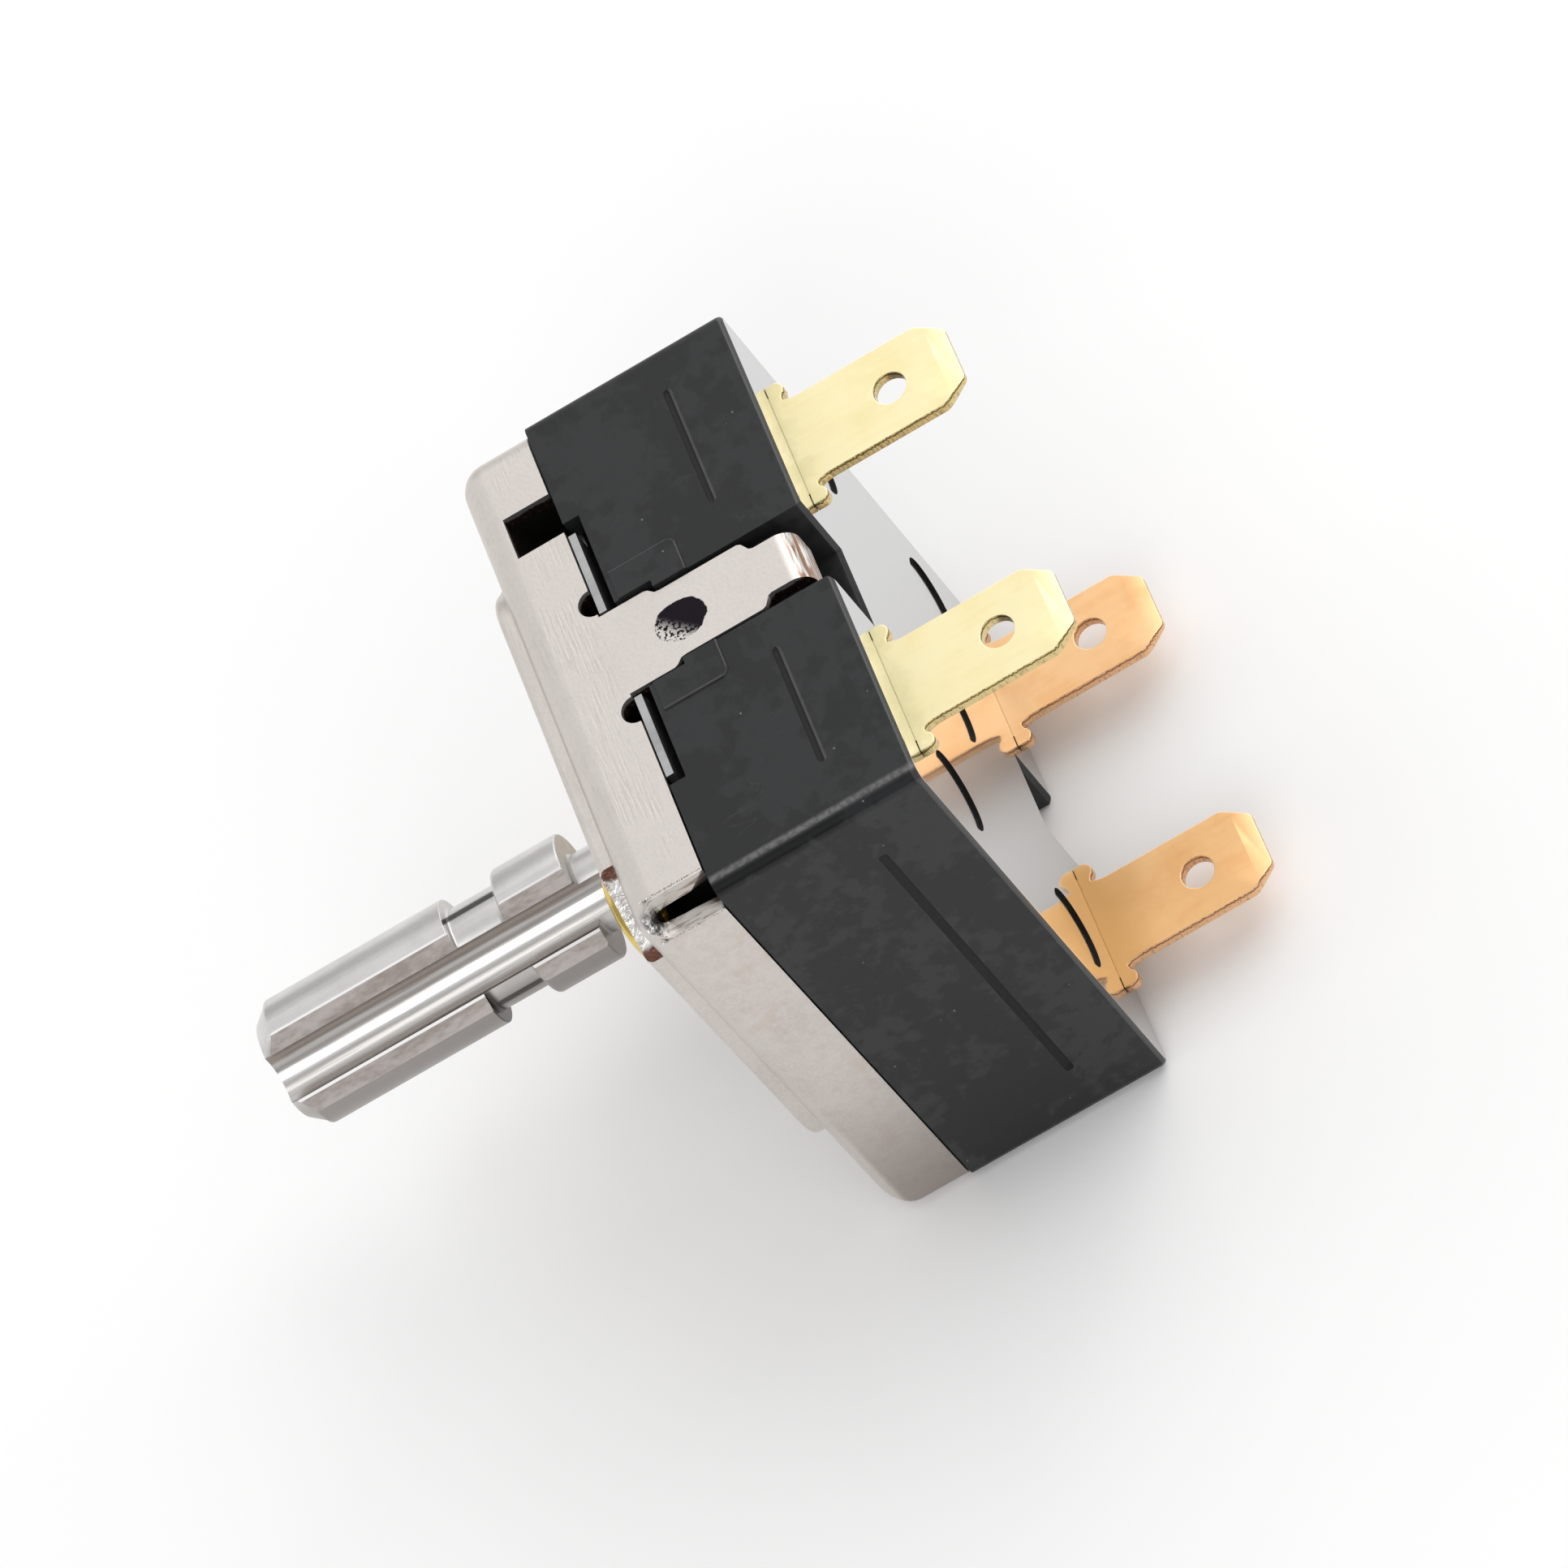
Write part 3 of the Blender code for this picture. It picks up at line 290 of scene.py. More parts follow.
@dataclass
class Workbench:
    """Turns working solids into finished objects."""

    materials: dict[str, bpy.types.Material] = field(default_factory=dict)

    def as_object(self, name: str, mesh: Solid, finishes: tuple[str, ...]) -> Piece:
        """Make a scene object from a solid.

        Args:
            name: Name of the object.
            mesh: The solid; it is freed.
            finishes: Finishes in slot order.

        Returns:
            The new object, still in millimetres.
        """
        data = bpy.data.meshes.new(name)
        mesh.to_mesh(data)
        mesh.free()
        for finish in finishes:
            data.materials.append(self.materials[finish])
        return linked(name, data)

    def change(self, piece: Piece, cut: Cut, mesh: Solid, finish: str) -> None:
        """Cut a solid from a piece, or add it, with its own finish on the new faces."""
        self.combine(piece, cut, self.as_object(piece.name + "_tool", mesh, (finish,)))

    def combine(self, piece: Piece, cut: Cut, tool: Piece) -> None:
        """Change a piece by another object, which is used up.

        Args:
            piece: The piece.
            cut: Whether the tool is taken away or added.
            tool: The other object.
        """
        step = piece.modifiers.new("change", "BOOLEAN")
        step.operation = cut.value
        step.solver = "EXACT"
        step.material_mode = "TRANSFER"
        step.object = tool
        settle(piece)
        bpy.data.objects.remove(tool)

    def clean(self, piece: Piece) -> None:
        """Merge doubled points and join faces that lie in one plane.

        Args:
            piece: The piece.
        """
        mesh = bmesh.new()
        mesh.from_mesh(piece.data)
        bmesh.ops.remove_doubles(mesh, verts=mesh.verts, dist=0.002)
        flat = math.radians(0.4)
        bmesh.ops.dissolve_limit(
            mesh, angle_limit=flat, verts=mesh.verts, edges=mesh.edges, delimit={"MATERIAL"}
        )
        mesh.to_mesh(piece.data)
        mesh.free()

    def soften(self, piece: Piece, width: float, angle: float) -> None:
        """Round a piece's sharp edges.

        Args:
            piece: The piece.
            width: Width of the rounding.
            angle: Edges that turn by more than this many degrees are rounded.
        """
        self.clean(piece)
        bevel = piece.modifiers.new("edges", "BEVEL")
        bevel.width = width
        bevel.segments = 2
        bevel.limit_method = "ANGLE"
        bevel.angle_limit = math.radians(angle)
        bevel.miter_outer = "MITER_ARC"
        settle(piece)

    def round_seams(self, piece: Piece, width: float, finish: int) -> None:
        """Round the edges where two finishes meet, as far as the crowded ones leave room.

        Args:
            piece: The piece.
            width: Largest width of the rounding.
            finish: Slot of the finish that the rounding takes.
        """
        self.clean(piece)
        mesh = bmesh.new()
        mesh.from_mesh(piece.data)
        weight = mesh.edges.layers.float.new("bevel_weight_edge")
        for edge in mesh.edges:
            slots = {face.material_index for face in edge.link_faces}
            if len(slots) == 2 and edge.calc_face_angle() > math.radians(20.0):
                edge[weight] = 1.0
        mesh.to_mesh(piece.data)
        mesh.free()
        bevel = piece.modifiers.new("seams", "BEVEL")
        bevel.width = width
        bevel.segments = 3
        bevel.limit_method = "WEIGHT"
        bevel.material = finish
        settle(piece)

    def crease(self, piece: Piece) -> None:
        """Keep sharp edges and the junctions of broad flat faces from being shaded round.

        Args:
            piece: The piece.
        """
        mesh = bmesh.new()
        mesh.from_mesh(piece.data)
        for face in mesh.faces:
            face.smooth = True
        for edge in mesh.edges:
            if len(edge.link_faces) != 2:
                continue
            angle = math.degrees(edge.calc_face_angle())
            width = min(
                face.calc_area() / max(side.calc_length() for side in face.edges) for face in edge.link_faces
            )
            edge.smooth = not (angle > 38.0 or (angle > 4.0 and width > 0.7))
        mesh.to_mesh(piece.data)
        mesh.free()

    def deliver(self, piece: Piece, body: Body, slot: str, nodes: list[str], weight: int = 90) -> None:
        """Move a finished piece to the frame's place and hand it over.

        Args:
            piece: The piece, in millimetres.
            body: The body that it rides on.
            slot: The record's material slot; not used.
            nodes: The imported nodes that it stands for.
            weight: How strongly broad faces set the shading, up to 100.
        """
        self.crease(piece)
        piece.data.transform(Matrix.Scale(MM, 4) @ Matrix.Translation(FRAME_SHIFT))
        weights = piece.modifiers.new("normals", "WEIGHTED_NORMAL")
        weights.keep_sharp = True
        weights.weight = weight
        settle(piece)
        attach(piece, body.value)
        if nodes:
            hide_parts(*nodes)
        LOG.info("%s: %d faces on %s", piece.name, len(piece.data.polygons), body.value)


class Value:
    """What a node gives at each place on a surface; plain sums work on it."""

    def __init__(self, sheet: NodeSheet, socket: bpy.types.NodeSocket) -> None:
        """Keep the node's output and the sheet that it lies on."""
        self.sheet = sheet
        self.socket = socket

    def __add__(self, other: Value | float) -> Value:
        """Return the sum."""
        return self.sheet.maths("ADD", self, other)

    def __radd__(self, other: float) -> Value:
        """Return the sum with a plain number."""
        return self.sheet.maths("ADD", other, self)

    def __sub__(self, other: Value | float) -> Value:
        """Return the difference."""
        return self.sheet.maths("SUBTRACT", self, other)

    def __rsub__(self, other: float) -> Value:
        """Return a plain number less this value."""
        return self.sheet.maths("SUBTRACT", other, self)

    def __mul__(self, other: Value | float) -> Value:
        """Return the product."""
        return self.sheet.maths("MULTIPLY", self, other)

    def __rmul__(self, other: float) -> Value:
        """Return the product with a plain number."""
        return self.sheet.maths("MULTIPLY", other, self)

    def __truediv__(self, other: Value | float) -> Value:
        """Return the quotient."""
        return self.sheet.maths("DIVIDE", self, other)

    def __abs__(self) -> Value:
        """Return the value without its sign."""
        return self.sheet.maths("ABSOLUTE", self)

    def ramp(self, low: float, high: float) -> Value:
        """Return 0 up to low, 1 from high and a smooth step between; low may be the larger.

        Args:
            low: Where the step starts.
            high: Where the step ends.

        Returns:
            The step.
        """
        return self.sheet.add(
            "MapRange", interpolation_type="SMOOTHSTEP", Value=self, From_Min=low, From_Max=high
        )


class NodeTree:
    """A tree of nodes that is laid out by short calls."""

    def __init__(self, tree: bpy.types.NodeTree) -> None:
        """Keep the tree."""
        self.tree = tree

    def feed(self, node: bpy.types.Node, name: str, value: object) -> None:
        """Link a value to a node's input, or set the input to it.

        Args:
            node: The node.
            name: The input's label, with _ for a space, or i and its number.
            value: Another node's value or output, or a plain number, vector or colour.
        """
        label = name.replace("_", " ")
        target = node.inputs[int(label[1:]) if label[1:].isdigit() else label]
        source = value.socket if isinstance(value, Value) else value
        if isinstance(source, bpy.types.NodeSocket):
            self.tree.links.new(source, target)
        elif target.type == "RGBA":
            target.default_value = (*source, 1.0)
        else:
            target.default_value = source

    def node(self, kind: str, **inputs: object) -> bpy.types.Node:
        """Add a node.

        Args:
            kind: The node's full kind.
            inputs: First its settings, in small letters, then its inputs.

        Returns:
            The node.
        """
        node = self.tree.nodes.new(kind)
        for name, value in inputs.items():
            if name.islower() and hasattr(node, name):
                setattr(node, name, value)
            else:
                self.feed(node, name, value)
        return node


class NodeSheet(NodeTree):
    """The nodes of one material."""

    def __init__(self, name: str) -> None:
        """Start a material with a surface shader.

        Args:
            name: Name of the material.
        """
        self.material = bpy.data.materials.new(name)
        self.material.use_nodes = True
        super().__init__(self.material.node_tree)
        self.shader = self.tree.nodes["Principled BSDF"]
        self.place = self.add("TexCoord", "Object")

    def add(self, kind: str, output: int | str = 0, **inputs: object) -> Value:
        """Add a shader node and return one of its outputs."""
        return Value(self, self.node("ShaderNode" + kind, **inputs).outputs[output])

    def maths(self, operation: str, first: object, second: object = 0.0) -> Value:
        """Return the result of one sum on two values."""
        return self.add("Math", operation=operation, i0=first, i1=second)

    def noise(self, scale: float, detail: float = 3.0, place: Value | None = None) -> Value:
        """Return a noise value; scale is in turns per metre of the piece."""
        return self.add("TexNoise", Vector=place or self.place, Scale=scale, Detail=detail, Roughness=0.55)

    def drawn(self, scale: Place, detail: float = 3.0) -> Value:
        """Return a noise value with its own scale along each axis, as drawing lines have."""
        return self.noise(1.0, detail, self.add("Mapping", Vector=self.place, Scale=scale))

    def blend(self, share: object, first: object, second: object) -> Value:
        """Return a colour between two, by share."""
        return self.add("Mix", 2, data_type="RGBA", i0=share, i6=first, i7=second)

    def surface(self, **inputs: object) -> None:
        """Set or link inputs of the surface shader."""
        for name, value in inputs.items():
            self.feed(self.shader, name, value)

    def paint(self, colour: object, roughness: object, metallic: object) -> None:
        """Set the surface's colour, roughness and metal share."""
        self.surface(Base_Color=colour, Roughness=roughness, Metallic=metallic)

    def relief(self, height: Value, depth: float, strength: float) -> None:
        """Give the surface a fine relief; depth is in metres."""
        self.surface(Normal=self.add("Bump", Height=height, Distance=depth, Strength=strength))

    def spot(self) -> list[Value]:
        """Return the place in the switch's own frame, as X, Y and Z in millimetres.

        Returns:
            The three coordinates.
        """
        scaled = self.add("VectorMath", operation="SCALE", i0=self.place, Scale=1.0 / MM)
        moved = self.add("VectorMath", operation="SUBTRACT", i0=scaled, i1=tuple(FRAME_SHIFT))
        parts = self.node("ShaderNodeSeparateXYZ", Vector=moved)
        return [Value(self, part) for part in parts.outputs]

    def off_slot(self) -> Value:
        """Return the offset from the middle of the spindle's slot, in millimetres.

        Returns:
            The offset.
        """
        across, _, up = self.spot()
        turn = math.radians(KEY_DIRECTION)
        return across * -math.sin(turn) + up * math.cos(turn)


class Finish:
    """A surface finish; each kind lays out its own nodes."""

    name: str

    def lay(self, sheet: NodeSheet) -> None:
        """Lay out the finish's nodes on a sheet."""
        raise NotImplementedError

    def make(self) -> bpy.types.Material:
        """Return the finish as a material.

        Returns:
            The material.
        """
        sheet = NodeSheet(self.name)
        self.lay(sheet)
        return sheet.material


@dataclass(frozen=True)
class SheetSteel(Finish):
    """Plated sheet steel with fine drawing lines, and the dried ink dot on the strap."""

    name: str = "plated_sheet_steel"
    colour: Colour = (0.70, 0.655, 0.62)
    shade: Colour = (0.60, 0.555, 0.52)
    stain: Colour = (0.56, 0.47, 0.33)
    # Painted shade for the near side's lower part, standing in for the floor's shadow seen in it.
    painted_shade: Colour = (0.25, 0.21, 0.19)
    copper: Colour = (0.34, 0.17, 0.10)
    ink: Colour = (0.010, 0.007, 0.012)
    dot: Point = (0.15, 4.55)
    dot_radii: Point = (1.42, 1.75)

    def dried_ink(self, sheet: NodeSheet) -> Value:
        """Return the share of ink: a ragged dot, solid at the rim's side and speckled at the other.

        Args:
            sheet: The material's nodes.

        Returns:
            The share.
        """
        across, along, up = sheet.spot()
        wide = (across - self.dot[0]) / self.dot_radii[0]
        deep = (along - self.dot[1]) / self.dot_radii[1]
        inside = 1.0 - sheet.maths("SQRT", wide * wide + deep * deep)
        solid = (inside + sheet.noise(1300.0) * 0.3).ramp(0.13, 0.17)
        sparse = (across - (along - self.dot[1])).ramp(0.2, 1.9)
        flecks = sheet.noise(3600.0, 2.0).ramp(0.45, 0.5)
        return solid * (1.0 - sparse * flecks) * up.ramp(18.6, 18.8)

    def bend_streaks(self, sheet: NodeSheet, steel: Value) -> Value:
        """Return the colour with coppery drawing streaks and white streaks of painted highlight at the
        strap's bend.

        Args:
            sheet: The material's nodes.
            steel: The colour so far.

        Returns:
            The colour.
        """
        across, along, _ = sheet.spot()
        zone = along.ramp(11.9, 12.25) * (1.0 - abs(across).ramp(1.9, 2.2))
        fine = sheet.drawn((500.0, 5200.0, 5200.0))
        steel = sheet.blend(zone * fine.ramp(0.47, 0.54) * 0.9, steel, self.copper)
        # The white streaks are painted highlight on the bend.
        return sheet.blend(zone * fine.ramp(0.46, 0.38), steel, PAINTED_HIGHLIGHT)

    def lay(self, sheet: NodeSheet) -> None:
        """Lay out the plating, the wear of the near side, painted shade on the near side towards its bottom,
        the bend's streaks and the ink.

        Args:
            sheet: The material's nodes.
        """
        across, along, up = sheet.spot()
        lines = sheet.drawn((2600.0, 260.0, 2600.0), 4.0)
        drag = sheet.drawn((420.0, 5200.0, 5200.0))
        peel = sheet.noise(4200.0)
        patch = along.ramp(0.5, -1.5) * sheet.noise(300.0, 2.0).ramp(0.4, 0.6)
        scored = patch * drag.ramp(0.42, 0.62)
        share = sheet.noise(160.0, 4.0).ramp(0.35, 0.75) + peel.ramp(0.4, 0.7) + scored * 1.3
        side = across.ramp(18.5, 18.8)
        worn = side * sheet.noise(1500.0, 4.0).ramp(0.46, 0.72)
        stained = side * sheet.noise(420.0).ramp(0.5, 0.7)
        # low darkens the near side towards its bottom: a painted reflection of the floor's shadow.
        low = side * up.ramp(-2.0, -19.0)
        steel = sheet.blend(share * 0.3, self.colour, self.shade)
        steel = sheet.blend(worn * 0.55, steel, self.shade)
        steel = sheet.blend(stained * 0.26, steel, self.stain)
        steel = self.bend_streaks(sheet, sheet.blend(low * 0.66, steel, self.painted_shade))
        ink = self.dried_ink(sheet)
        sheet.paint(sheet.blend(ink, steel, self.ink), 0.34 + lines * 0.16 + ink * 0.3, 1.0 - ink)
        sheet.surface(Specular_IOR_Level=0.5 - ink * 0.42)
        sheet.relief(lines * 0.25 + peel + worn * -0.8 + scored * -0.7, 0.00002, 0.5)


@dataclass(frozen=True)
class ShearedEdge(Finish):
    """The edge of the sheet: burnished bright near the outside, dark brown where it broke, darkened further
    as painted shade.
    """

    name: str = "sheared_sheet_edge"
    bright: Colour = (0.72, 0.69, 0.66)
    # Near-black: the broken part's brown, darkened further as painted shade in the openings.
    broken: Colour = (0.035, 0.020, 0.016)
    copper: Colour = (0.20, 0.11, 0.08)

    def lay(self, sheet: NodeSheet) -> None:
        """Lay out the bright and the broken part by the depth under the plate's sides.

        Args:
            sheet: The material's nodes.
        """
        across, _, up = sheet.spot()
        under = PLATE_HALF - sheet.maths("MAXIMUM", abs(across), abs(up))
        grain = sheet.noise(4600.0, 4.0)
        inner = (under + (sheet.noise(1500.0) - 0.5) * 0.5).ramp(0.3, 0.42)
        torn = sheet.blend(grain.ramp(0.52, 0.7), self.broken, self.copper)
        sheet.paint(sheet.blend(inner, self.bright, torn), 0.3 + inner * 0.2, 0.9)
        sheet.relief(grain, 0.00006, 0.8)


@dataclass(frozen=True)
class PadShear(Finish):
    """The pad's sheared corner: silver, brown towards both ends."""

    name: str = "sheared_pad_corner"
    bright: Colour = (0.78, 0.76, 0.74)
    grey: Colour = (0.36, 0.33, 0.31)
    broken: Colour = (0.13, 0.062, 0.045)
    middle: float = 0.775
    half: float = 4.275

    def lay(self, sheet: NodeSheet) -> None:
        """Lay out the silver and the brown by the distance from the cut's middle.

        Args:
            sheet: The material's nodes.
        """
        across, _, up = sheet.spot()
        along = (across - up) * sheet.maths("SIGN", across + up)
        reach = abs((along + self.middle) / self.half)
        grain = sheet.noise(3000.0, 4.0)
        brown = (reach + sheet.noise(1500.0) * 0.5).ramp(0.88, 1.05)
        silver = sheet.blend(grain.ramp(0.45, 0.65) * 0.6, self.bright, self.grey)
        sheet.paint(sheet.blend(brown, silver, self.broken), 0.3, 0.95)
        sheet.relief(grain, 0.00008, 0.9)


@dataclass(frozen=True)
class BrokenEdge(Finish):
    """The torn side of a corner slit, dull and coppery brown."""

    name: str = "broken_sheet_edge"
    colour: Colour = (0.16, 0.075, 0.052)
    fleck: Colour = (0.45, 0.33, 0.27)

    def lay(self, sheet: NodeSheet) -> None:
        """Lay out the brown and its flecks.

        Args:
            sheet: The material's nodes.
        """
        grain = sheet.noise(4600.0, 4.0)
        sheet.paint(sheet.blend(grain.ramp(0.5, 0.72), self.colour, self.fleck), 0.5, 0.8)
        sheet.relief(grain, 0.00007, 0.9)


@dataclass(frozen=True)
class BurrSilver(Finish):
    """Bright torn metal: brown streaks along the lips, crumpled silver at the slit's end."""

    name: str = "bright_burr"
    colour: Colour = (0.56, 0.53, 0.50)
    shade: Colour = (0.20, 0.13, 0.10)
    bright: Colour = (0.90, 0.89, 0.88)
    dark: Colour = (0.27, 0.26, 0.25)

    def lay(self, sheet: NodeSheet) -> None:
        """Lay out the lips' streaks and the crumpled end.

        Args:
            sheet: The material's nodes.
        """
        streak = sheet.drawn((4200.0, 500.0, 4200.0))
        crease = sheet.noise(2600.0)
        end = sheet.spot()[1].ramp(-3.9, -4.3)
        lips = sheet.blend(streak.ramp(0.52, 0.64) * 0.75, self.colour, self.shade)
        crumpled = sheet.blend(crease.ramp(0.42, 0.6), self.bright, self.dark)
        sheet.paint(sheet.blend(end, lips, crumpled), 0.3, 1.0)
        sheet.relief(streak + crease * (end * 4.0), 0.00003, 0.8)


@dataclass(frozen=True)
class BlackMoulding(Finish):
    """Black thermoset with faint smears, specks of dust and hairline scratches."""

    name: str = "black_moulding"
    colour: Colour = (0.0055, 0.0057, 0.006)
    smear: Colour = (0.031, 0.032, 0.034)
    dust: Colour = (0.16, 0.16, 0.155)
    # Colour of the painted highlight along the corner's rounding.
    corner_highlight: Colour = (0.135, 0.135, 0.135)
    roughness: float = 0.34
    spread: float = 0.18
    gloss: float = 0.30
    lacquer: float = 0.0

    def corner_band(self, sheet: NodeSheet, start: Point, end: Point) -> Value:
        """Return a band along the corner between the two seen sides.

        Args:
            sheet: The material's nodes.
            start: Z less X where the band fades in, in millimetres.
            end: Z less X where it fades out, from full to nothing.

        Returns:
            The share of the band.
        """
        across, _, up = sheet.spot()
        round_it = up - across
        band = round_it.ramp(*start) * round_it.ramp(end[1], end[0])
        return band * (across + up).ramp(36.3, 36.5)

    def painted_corner_highlight(self, sheet: NodeSheet) -> Value:
        """Return the fine painted highlight line, with grains, at the upper edge of the corner's rounding.
        """
        grains = sheet.noise(2600.0).ramp(0.35, 0.6)
        return self.corner_band(sheet, (0.5, 0.78), (0.9, 1.25)) * (0.5 + grains * 0.5)

    def scratches(self, sheet: NodeSheet) -> Value:
        """Return the share of the hairline scratches."""
        near = abs(sheet.drawn((500.0, 60.0, 900.0), 2.0) - 0.5)
        return (1.0 - near.ramp(0.0, 0.006)) * sheet.noise(150.0, 1.0).ramp(0.55, 0.7)

    def specks(self, sheet: NodeSheet) -> Value:
        """Return the share of the scattered specks of dust."""
        cells = sheet.add("TexVoronoi", "Distance", Vector=sheet.place, Scale=640.0, Randomness=1.0)
        return (1.0 - cells.ramp(0.03, 0.055)) * sheet.noise(330.0, 1.0).ramp(0.5, 0.54)

    def lay(self, sheet: NodeSheet) -> None:
        """Lay out the smears, more uneven on the near side, then dust, scratches and the corner's painted
        highlight and painted shade.

        Args:
            sheet: The material's nodes.
        """
        broad = sheet.drawn((150.0, 225.0, 120.0), 6.0)
        patches = (broad * 0.62 + sheet.noise(900.0, 5.0) * 0.38).ramp(0.46, 0.54)
        side = sheet.spot()[0].ramp(18.7, 18.95)
        smears = sheet.blend(side, 0.34 + patches * 0.3, 0.1 + patches * 0.62)
        colour = sheet.blend(smears, self.colour, self.smear)
        colour = sheet.blend(self.specks(sheet), colour, self.dust)
        colour = sheet.blend(self.scratches(sheet) * 0.1, colour, self.dust)
        # Painted highlight along the upper edge of the corner's rounding.
        colour = sheet.blend(self.painted_corner_highlight(sheet), colour, self.corner_highlight)
        sheet.paint(colour, self.roughness + smears * self.spread, 0.0)
        # Dimmed gloss along the middle of the corner's rounding, as painted shade.
        shaded = self.corner_band(sheet, (-0.5, -0.25), (0.3, 0.55))
        sheet.surface(Specular_IOR_Level=self.gloss * (1.0 - shaded * 0.75))
        sheet.surface(Coat_Weight=self.lacquer, Coat_Roughness=0.06, Coat_IOR=1.9)
        sheet.relief(sheet.noise(3600.0), 0.000012, 0.5)


@dataclass(frozen=True)
class CastMetal(Finish):
    """Silver-grey casting with drawing lines along the spindle, darkened towards its lower side as painted
    shade.
    """

    name: str = "zinc_casting"
    colour: Colour = (0.72, 0.71, 0.70)
    shade: Colour = (0.58, 0.565, 0.55)
    # Colour of the painted shade on the spindle's lower side.
    painted_shade: Colour = (0.33, 0.305, 0.29)
    # Colour of the painted shadow in the clip groove.
    line: Colour = (0.05, 0.045, 0.04)
    roughness: float = 0.27

    def painted_groove_shadow(self, sheet: NodeSheet, lower: Value, along: Value) -> Value:
        """Return the painted shadow along both flanks of the clip groove and in its outer corner.

        Args:
            sheet: The material's nodes.
            lower: Offset towards the spindle's lower side, in millimetres.
            along: Place along the spindle, in millimetres.

        Returns:
            The share of the painted shadow.
        """
        reach = abs(lower)
        flank = reach.ramp(2.78, 2.9) * reach.ramp(3.2, 3.1)
        groove = along.ramp(-19.5, -19.4) * along.ramp(-15.8, -15.95)
        corner = along.ramp(-18.8, -19.2) * lower.ramp(1.7, 2.1)
        return sheet.maths("MAXIMUM", flank, corner) * groove * 0.9

    def lay(self, sheet: NodeSheet) -> None:
        """Lay out the drawing lines, the painted shade on the lower side and the painted shadow in the
        groove.

        Args:
            sheet: The material's nodes.
        """
        streaks = sheet.drawn((2200.0, 90.0, 2200.0))
        cloud = sheet.noise(420.0, 4.0)
        across, along, up = sheet.spot()
        lower = across * 0.79 - up * 0.61
        share = (streaks * 0.5 + cloud * 0.5).ramp(0.3, 0.75)
        metal = sheet.blend(share, self.colour, self.shade)
        # Painted shade: the spindle's lower side is darkened.
        metal = sheet.blend(lower.ramp(1.4, 3.2) * 0.95, metal, self.painted_shade)
        # Painted shadow along the clip groove's flanks and outer corner.
        metal = sheet.blend(self.painted_groove_shadow(sheet, lower, along), metal, self.line)
        sheet.paint(metal, self.roughness + cloud * 0.12, 1.0)
        sheet.relief(streaks + sheet.noise(3000.0), 0.000014, 0.5)


@dataclass(frozen=True)
class MilledFlat(Finish):
    """The brownish, speckled flats beside the spindle's slot, each with a painted highlight along one edge.
    """

    name: str = "milled_flat"
    # The flats' dark brownish colour is partly their own milled finish and partly painted shade.
    colour: Colour = (0.34, 0.31, 0.295)
    shade: Colour = (0.235, 0.205, 0.19)

    def lay(self, sheet: NodeSheet) -> None:
        """Lay out the specks and the two edges of painted highlight.

        Args:
            sheet: The material's nodes.
        """
        specks = sheet.drawn((3400.0, 1500.0, 3400.0), 4.0)
        cloud = sheet.drawn((900.0, 160.0, 900.0))
        metal = sheet.blend((specks * 0.6 + cloud).ramp(0.62, 1.0), self.colour, self.shade)
        offset = sheet.off_slot()
        # Painted highlight along the flats' edges.
        outer = offset.ramp(2.64, 2.7)
        inner = offset.ramp(-1.82, -1.76) * offset.ramp(0.5, 0.0)
        painted_edge_highlight = outer + inner
        sheet.paint(sheet.blend(painted_edge_highlight, metal, PAINTED_HIGHLIGHT), 0.42, 0.9 - painted_edge_highlight)
        sheet.relief(specks, 0.00002, 0.6)


@dataclass(frozen=True)
class DrawnSlot(Finish):
    """The spindle's slot: a painted highlight band along it, painted shade on one side and a pale painted
    reflection on the other.
    """

    name: str = "drawn_slot"
    bright: Colour = (0.82, 0.81, 0.80)
    dark: Colour = (0.30, 0.265, 0.245)
    middle: Colour = (0.50, 0.48, 0.46)
    pale: Colour = (0.62, 0.60, 0.58)

    def lay(self, sheet: NodeSheet) -> None:
        """Lay out the four bands of painted highlight, grey, painted shade and pale painted reflection, with
        wandering borders.

        Args:
            sheet: The material's nodes.
        """
        streaks = sheet.drawn((2400.0, 70.0, 2400.0))
        place = sheet.off_slot() + (streaks - 0.5) * 0.9
        # Painted light across the slot: a highlight band, then grey and painted shade to one side, a pale
        # painted reflection to the other.
        colour = sheet.blend(place.ramp(0.05, 0.3), self.bright, self.middle)
        colour = sheet.blend(place.ramp(0.8, 1.0), colour, self.dark)
        colour = sheet.blend(place.ramp(-0.4, -0.65), colour, self.pale)
        colour = sheet.blend(streaks.ramp(0.5, 0.6) * 0.3, colour, self.dark)
        sheet.paint(colour, 0.26, 1.0)
        sheet.relief(streaks, 0.00002, 0.5)


